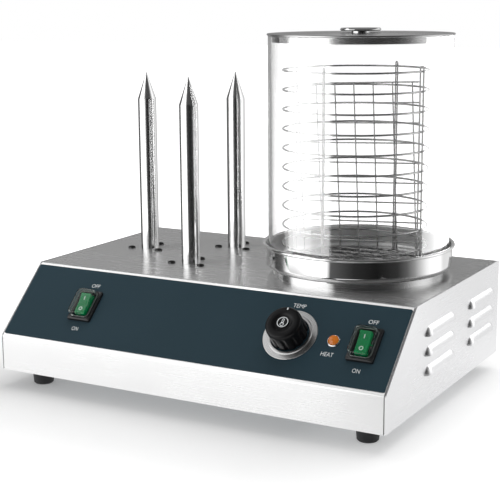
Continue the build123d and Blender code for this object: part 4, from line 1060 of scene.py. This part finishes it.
def dress_basket(finish):
    wire, stay_wire, ring, rings, pitch = 2.2, 1.8, 79.4, 11, 21.15
    angles = [math.radians(degrees) for degrees in (-6.0, 79.0, 174.0, 270.0)]
    stays = [(ring * math.cos(a), ring * math.sin(a), stay_wire / 2) for a in angles]
    # The hairpins' curve runs through the wire's middle, so it is a wire shorter than their outside.
    sizes = {"Ring radius": ring, "Wire": wire, "Rings": rings, "Pitch": pitch,
             "Stay height": (rings - 1) * pitch + 5.4, "Stay reach": (wire + stay_wire) / 2 - 0.1,
             "Stay wire": stay_wire, "Floor wires": 7, "Floor pitch": 21.0}
    mesh = grown("wire_basket", basket_tree(finish["wire"]), sizes, stays)
    mesh.transform(standing(*BASKET, PLATE_TOP + 0.4))
    settle("wire_basket", "basket_body", mesh, finish["wire"], ("basket",))


def dress_divider(finish):
    """The mesh leans on the basket's rings, turned a little, with its lowest corner on the floor wires."""
    wire, pitch, columns = 1.6, 21.9, 7
    sizes = {"Wire": wire, "Pitch": pitch, "Columns": columns, "Rows": 9, "Foot": 18.5, "Overhang": 7.0,
             "Layer": wire - 0.3}
    mesh = grown("mesh_divider", divider_tree(finish["wire"]), sizes)
    turn, lean, tip = math.radians(5.4), math.radians(1.8), math.radians(2.2)
    half = (columns - 1) / 2 * pitch
    gap, floor_wire = 0.3, 2.5
    floor = PLATE_TOP + gap + floor_wire + gap
    drop = (half + wire) * math.sin(lean) + wire * math.sin(tip)
    corner = Vector((BASKET[0] + 3.4, BASKET[1] + half * math.sin(turn), floor + drop))
    leaning = Matrix.Rotation(turn, 4, "Z") @ Matrix.Rotation(tip, 4, "X") @ Matrix.Rotation(-lean, 4, "Y")
    mesh.transform(Matrix.Translation(corner * MM) @ leaning @ Matrix.Scale(MM, 4))
    settle("mesh_divider", "divider_body", mesh, finish["wire"], ("basket_divider",))


def dress_lid(finish):
    """A shallow disc with a skirt inside the glass, and a round grip."""
    place = standing(*STACK)
    wall, foot = 1.0, GLASS_TOP - 7.0
    skirt, edge, rim, boss = GLASS_INSIDE - 1.2, GLASS_OUTSIDE - 0.6, GLASS_OUTSIDE + 1.2, 12
    crown, top = LID_TOP + 0.8, LID_TOP
    disc = softened([
        (0, crown - wall), (boss, crown - wall), (skirt - wall, top - wall), (skirt - wall, foot),
        (skirt, foot), (skirt, top - wall), (edge, top - wall), (edge, GLASS_TOP), (rim, GLASS_TOP, 0.5),
        (rim, top, 0.7), (skirt, top, 0.3), (boss, crown), (0, crown),
    ], 5, closed=False)
    made("lid_disc", "lid_body", turned(disc, closed=False), place, finish["spun_steel"],
         ("lid",), sharp=40)
    neck = 10.0
    grip = softened([
        (0, crown), (neck, crown), (neck, crown + 1.6, 0.5), (21.4, crown + 1.9, 0.4),
        (22.4, crown + 3.1, 0.7), (21.1, crown + 4.88, 0.8), (neck, crown + 4.2), (0, crown + 3.9),
    ], 5, closed=False)
    made("lid_grip", "lid_body", turned(grip, 128, closed=False), place, finish["polished_steel"],
         ("lid_knob",), sharp=40)


def dress_spikes(finish):
    """Hollow pointed bars for the rolls, with a spigot through the housing's top."""
    bore, spigot, bar = 5.1, 8.5, 11.0
    base, foot, bore_end, taper, tip = (HOUSING_TOP + rise for rise in (0.0, -6.0, 154.0, 182.6, 214.6))
    section = softened([
        (bore, foot), (spigot, foot, 0.4), (spigot, base), (bar, base, 0.3), (bar, taper, 5.0),
        (0.9, tip - 2.0, 0.3), (0.0, tip), (0.0, bore_end), (bore, bore_end),
    ], 6)
    for side, (x, y) in SPIKES.items():
        made("roll_spike_" + side, "base", turned(section, 96), standing(x, y), finish["spike_steel"],
             ("spike_" + side,), sharp=40)


def dress_inside(finish):
    """Give the pieces inside the housing their finishes as they are."""
    slots = {part["node"]: part["material_slot"] for part in frame["record"]["subparts"]}
    for name, node in frame["nodes"].items():
        for holder in node.material_slots:
            holder.link = "OBJECT"
            holder.material = finish[slots[name]]


# Studio -------------------------------------------------------------------------------


# What polished metal sees round the room, as (degrees from +X, brightness): the dark side of
# the room stands in front, a white wall to the right and a grey one behind.
ROOM = [(-180, 0.08), (-171, 0.16), (-164, 1.1), (-156, 1.5), (-101, 1.50), (-97, 0.13), (-82, 0.07),
        (-70, 0.03), (-45, 0.01), (-20, 0.04), (-8, 0.14), (2, 0.38), (11, 0.80), (20, 1.25), (30, 1.55),
        (45, 1.50), (54, 1.0), (74, 1.0), (82, 0.85), (92, 0.44), (150, 0.35), (168, 0.08)]

# The floor's glow round the housing, as (metres from its footprint, brightness): it dims towards the
# housing, a painted shadow. The footprint counts as narrower on the housing's lit right side, where the
# painted shadow is lighter.
FLOOR_GLOW_WITH_PAINTED_SHADOW = [(0.0, 0.18), (0.10, 0.34), (0.17, 0.50), (0.25, 0.72), (0.40, 0.90)]
PAINTED_SHADOW_MIDDLE = (-0.0575, 0, 0)
PAINTED_SHADOW_HALF = (0.1775, 0.165, 0)
TABLE_EDGE = (0.31, 0.38)
CEILING = (0.18, 0.18, 0.18, 1)
SKY_LIGHT = (0.5, 0.5, 0.5, 1)

SOFTBOX_HEIGHT = 700


def levels(tree, share, stops):
    """Grey levels along 0 to 1."""
    scale = add(tree, "ShaderNodeValToRGB", {"Fac": share})
    ramp = scale.color_ramp
    while len(ramp.elements) < len(stops):
        ramp.elements.new(0.5)
    for stop, (place, level) in zip(ramp.elements, stops):
        stop.position = place
        stop.color = (level, level, level, 1)
    return scale


def room_light(tree, direction):
    """The room's brightness towards a horizontal direction."""
    toward = add(tree, "ShaderNodeSeparateXYZ", {0: direction}).outputs
    angle = add(tree, "ShaderNodeMath", {0: toward["Y"], 1: toward["X"]}, operation="ARCTAN2")
    share = add(tree, "ShaderNodeMapRange", {"Value": angle, "From Min": -math.pi, "From Max": math.pi})
    return levels(tree, share, [((degrees + 180) / 360, level) for degrees, level in ROOM])


def studio_floor():
    """A wide white floor that keeps the object's soft shadow, with a painted shadow in its glow near the
    housing.
    """
    mesh = bpy.data.meshes.new("studio_floor")
    reach = 9
    corners = [(-reach, -reach, 0), (reach, -reach, 0), (reach, reach, 0), (-reach, reach, 0)]
    mesh.from_pydata(corners, [], [(0, 1, 2, 3)])
    floor = placed("studio_floor", mesh)
    paper = bpy.data.materials.new("white studio paper")
    paper.use_nodes = True
    tree = paper.node_tree
    tree.nodes.clear()
    path = add(tree, "ShaderNodeLightPath").outputs
    place = add(tree, "ShaderNodeTexCoord").outputs["Object"]
    centred = add(tree, "ShaderNodeVectorMath", {0: place, 1: PAINTED_SHADOW_MIDDLE}, operation="SUBTRACT")
    folded = add(tree, "ShaderNodeVectorMath", {0: centred}, operation="ABSOLUTE")
    outside = add(tree, "ShaderNodeVectorMath", {0: folded, 1: PAINTED_SHADOW_HALF}, operation="SUBTRACT")
    clear = add(tree, "ShaderNodeVectorMath", {0: outside, 1: (0, 0, 0)}, operation="MAXIMUM")
    far = add(tree, "ShaderNodeVectorMath", {0: clear}, operation="LENGTH").outputs["Value"]
    # The glow dims towards the housing: a painted shadow.
    fade = levels(tree, far, FLOOR_GLOW_WITH_PAINTED_SHADOW)
    # Sheet metal sees the floor's glow brighter near the housing: painted light that evens out the floor's
    # shadow in its reflections.
    mirrored = add(tree, "ShaderNodeMath", {0: path["Glossy Depth"], 1: 0.5}, operation="GREATER_THAN")
    even = add(tree, "ShaderNodeMath", {0: fade, 1: -0.35, 2: 0.64}, operation="MULTIPLY_ADD")
    bright = add(tree, "ShaderNodeMix", {"Factor": mirrored, "A": fade, "B": even})
    # The glow is only seen, and lights nothing.
    seen = add(tree, "ShaderNodeMath", {0: 1.0, 1: path["Is Diffuse Ray"]}, operation="SUBTRACT")
    lift = add(tree, "ShaderNodeMath", {0: seen, 1: bright}, operation="MULTIPLY")
    matte = add(tree, "ShaderNodeBsdfDiffuse", {"Color": colour("#E6E6E6")})
    glow = add(tree, "ShaderNodeEmission", {"Strength": lift})
    paper_look = add(tree, "ShaderNodeAddShader", {0: matte, 1: glow})
    # Beyond the table, metal sees the floor of the room.
    from_stack = tuple(c * MM for c in (*STACK, 0.0))
    shifted = add(tree, "ShaderNodeVectorMath", {0: place, 1: from_stack}, operation="SUBTRACT")
    room = add(tree, "ShaderNodeEmission", {"Color": room_light(tree, shifted)})
    beyond = add(tree, "ShaderNodeMapRange",
                 {"Value": far, "From Min": TABLE_EDGE[0], "From Max": TABLE_EDGE[1]})
    share = add(tree, "ShaderNodeMath", {0: mirrored, 1: beyond}, operation="MULTIPLY")
    both = add(tree, "ShaderNodeMixShader", {0: share, 1: paper_look, 2: room})
    add(tree, "ShaderNodeOutputMaterial", {"Surface": both})
    mesh.materials.append(paper)


def studio_world():
    """Plain white light, a white backdrop, and a room with a dark side for metal to reflect."""
    world = bpy.data.worlds.new("studio")
    scene.world = world
    world.use_nodes = True
    world.cycles.sampling_method = "NONE"
    tree = world.node_tree
    tree.nodes.clear()
    path = add(tree, "ShaderNodeLightPath").outputs
    place = add(tree, "ShaderNodeTexCoord").outputs["Generated"]
    toward = add(tree, "ShaderNodeSeparateXYZ", {0: place}).outputs
    upward = add(tree, "ShaderNodeMapRange", {"Value": toward["Z"], "From Min": 0.45, "From Max": 0.65})
    room = add(tree, "ShaderNodeMix", {"Factor": upward, 6: room_light(tree, place), 7: CEILING},
               data_type="RGBA")
    mirrored = add(tree, "ShaderNodeMath", {0: path["Glossy Depth"], 1: 0.5}, operation="GREATER_THAN")
    backdrop = add(tree, "ShaderNodeMix", {"Factor": mirrored, 6: (1, 1, 1, 1), 7: room.outputs[2]},
                   data_type="RGBA")
    lighting = add(tree, "ShaderNodeMath", {0: path["Diffuse Depth"], 1: 0.5}, operation="GREATER_THAN")
    whole = add(tree, "ShaderNodeMix", {"Factor": lighting, 6: backdrop.outputs[2], 7: SKY_LIGHT},
                data_type="RGBA")
    sky = add(tree, "ShaderNodeBackground", {"Color": whole.outputs[2]})
    add(tree, "ShaderNodeOutputWorld", {"Surface": sky})


def area_lamp(name, width, height, radiance, place):
    """A rectangular lamp that shines along its -Z, unseen by the camera."""
    lamp = bpy.data.lights.new(name, "AREA")
    lamp.shape = "RECTANGLE"
    lamp.size = width * MM
    lamp.size_y = height * MM
    lamp.energy = radiance * math.pi * lamp.size * lamp.size_y
    holder = placed(name, lamp)
    holder.matrix_world = place
    holder.visible_camera = False
    holder.visible_transmission = False
    return holder


def softbox(name, left, right, radiance):
    """A softbox that stands on the floor from one point to another, facing the object."""
    start, end = Vector((*left, 0)), Vector((*right, 0))
    along, up = (end - start).normalized(), Vector((0, 0, 1))
    middle = (start + end) / 2 + up * SOFTBOX_HEIGHT / 2
    turn = Matrix((along, up, along.cross(up))).transposed().to_4x4()
    place = Matrix.Translation(middle * MM) @ turn
    return area_lamp(name, (end - start).length, SOFTBOX_HEIGHT, radiance, place)


def overhead(name, centre, toward, side, radiance, mirrored=False):
    """A square lamp hung above. It lights all and metal doesn't mirror it, or only metal sees it."""
    aim = Vector(toward) - Vector(centre)
    place = Matrix.Translation(Vector(centre) * MM) @ aim.to_track_quat("-Z", "Y").to_matrix().to_4x4()
    holder = area_lamp(name, side, side, radiance, place)
    holder.visible_glossy = mirrored
    holder.visible_diffuse = not mirrored
    return holder


def polar(degrees, distance):
    """A point on the floor round the steam cylinder."""
    angle = math.radians(degrees)
    return (STACK[0] + distance * math.cos(angle), STACK[1] + distance * math.sin(angle))


def only_for(lamps, piece):
    """Let these lamps shine on this piece alone."""
    lit = bpy.data.collections.new("lit by " + lamps[0].name)
    lit.objects.link(piece)
    for lamp in lamps:
        lamp.light_linking.receiver_collection = lit


def studio_lamps(glass, wrap, side):
    """A soft lamp above lights everything. The others stand where metal and glass mirror them."""
    key = softbox("left_softbox", (-950, -300), (-28, -647), 0.95)
    key.visible_diffuse = False
    overhead("overhead", (150, 450, 1500), (0, 0, 0), 1500, 1.7)
    overhead("left_top", (-700, -300, 950), (-700, -300, 0), 700, 1.3, mirrored=True)
    right_top = overhead("right_top", (600, 640, 600), (235, 0, 80), 700, 1.5, mirrored=True)
    panel_top = overhead("panel_top", (-180, -340, 960), (-180, -340, 0), 500, 1.2, mirrored=True)
    glare = [softbox("left_glare", polar(-176, 640), polar(-97, 600), 2.5),
             softbox("left_glare_inner", polar(-157, 630), polar(-99, 590), 6.0),
             softbox("left_glare_core", polar(-149, 620), polar(-122, 580), 4.5),
             softbox("right_glare", polar(14, 600), polar(88, 650), 9.0)]
    only_for(glare, glass)
    only_for([panel_top], wrap)
    only_for([right_top], side)


def studio_camera():
    """Three-quarter view from the right, slightly above the lid."""
    yaw, pitch, roll = math.radians(29.339), math.radians(11.434), math.radians(0.357)
    stand = Vector((677.24, -1213.37, 430.68))
    film, focal_share = 36.0, 1246.574 / 500
    forward = Vector((-math.sin(yaw) * math.cos(pitch), math.cos(yaw) * math.cos(pitch), -math.sin(pitch)))
    right = Vector((math.cos(yaw), math.sin(yaw), 0))
    down = forward.cross(right)
    across = math.cos(roll) * right + math.sin(roll) * down
    below = -math.sin(roll) * right + math.cos(roll) * down
    lens = bpy.data.cameras.new("camera")
    lens.sensor_width = film
    lens.lens = film * focal_share
    lens.clip_end = 50
    holder = placed("camera", lens)
    turn = Matrix((across, -below, -forward)).transposed().to_4x4()
    holder.matrix_world = Matrix.Translation(stand * MM) @ turn
    scene.camera = holder


def main():
    scene.view_settings.view_transform = "Standard"
    finish = all_finishes()
    dress_inside(finish)
    wrap, side = dress_housing(finish)
    set_all_screws(finish)
    dress_switches(finish)
    dress_knob(finish)
    dress_lamp(finish)
    print_panel(finish)
    dress_bowl(finish)
    dress_plate(finish)
    glass = dress_glass(finish)
    dress_basket(finish)
    dress_divider(finish)
    dress_lid(finish)
    dress_spikes(finish)
    studio_floor()
    studio_world()
    studio_lamps(glass, wrap, side)
    studio_camera()


main()
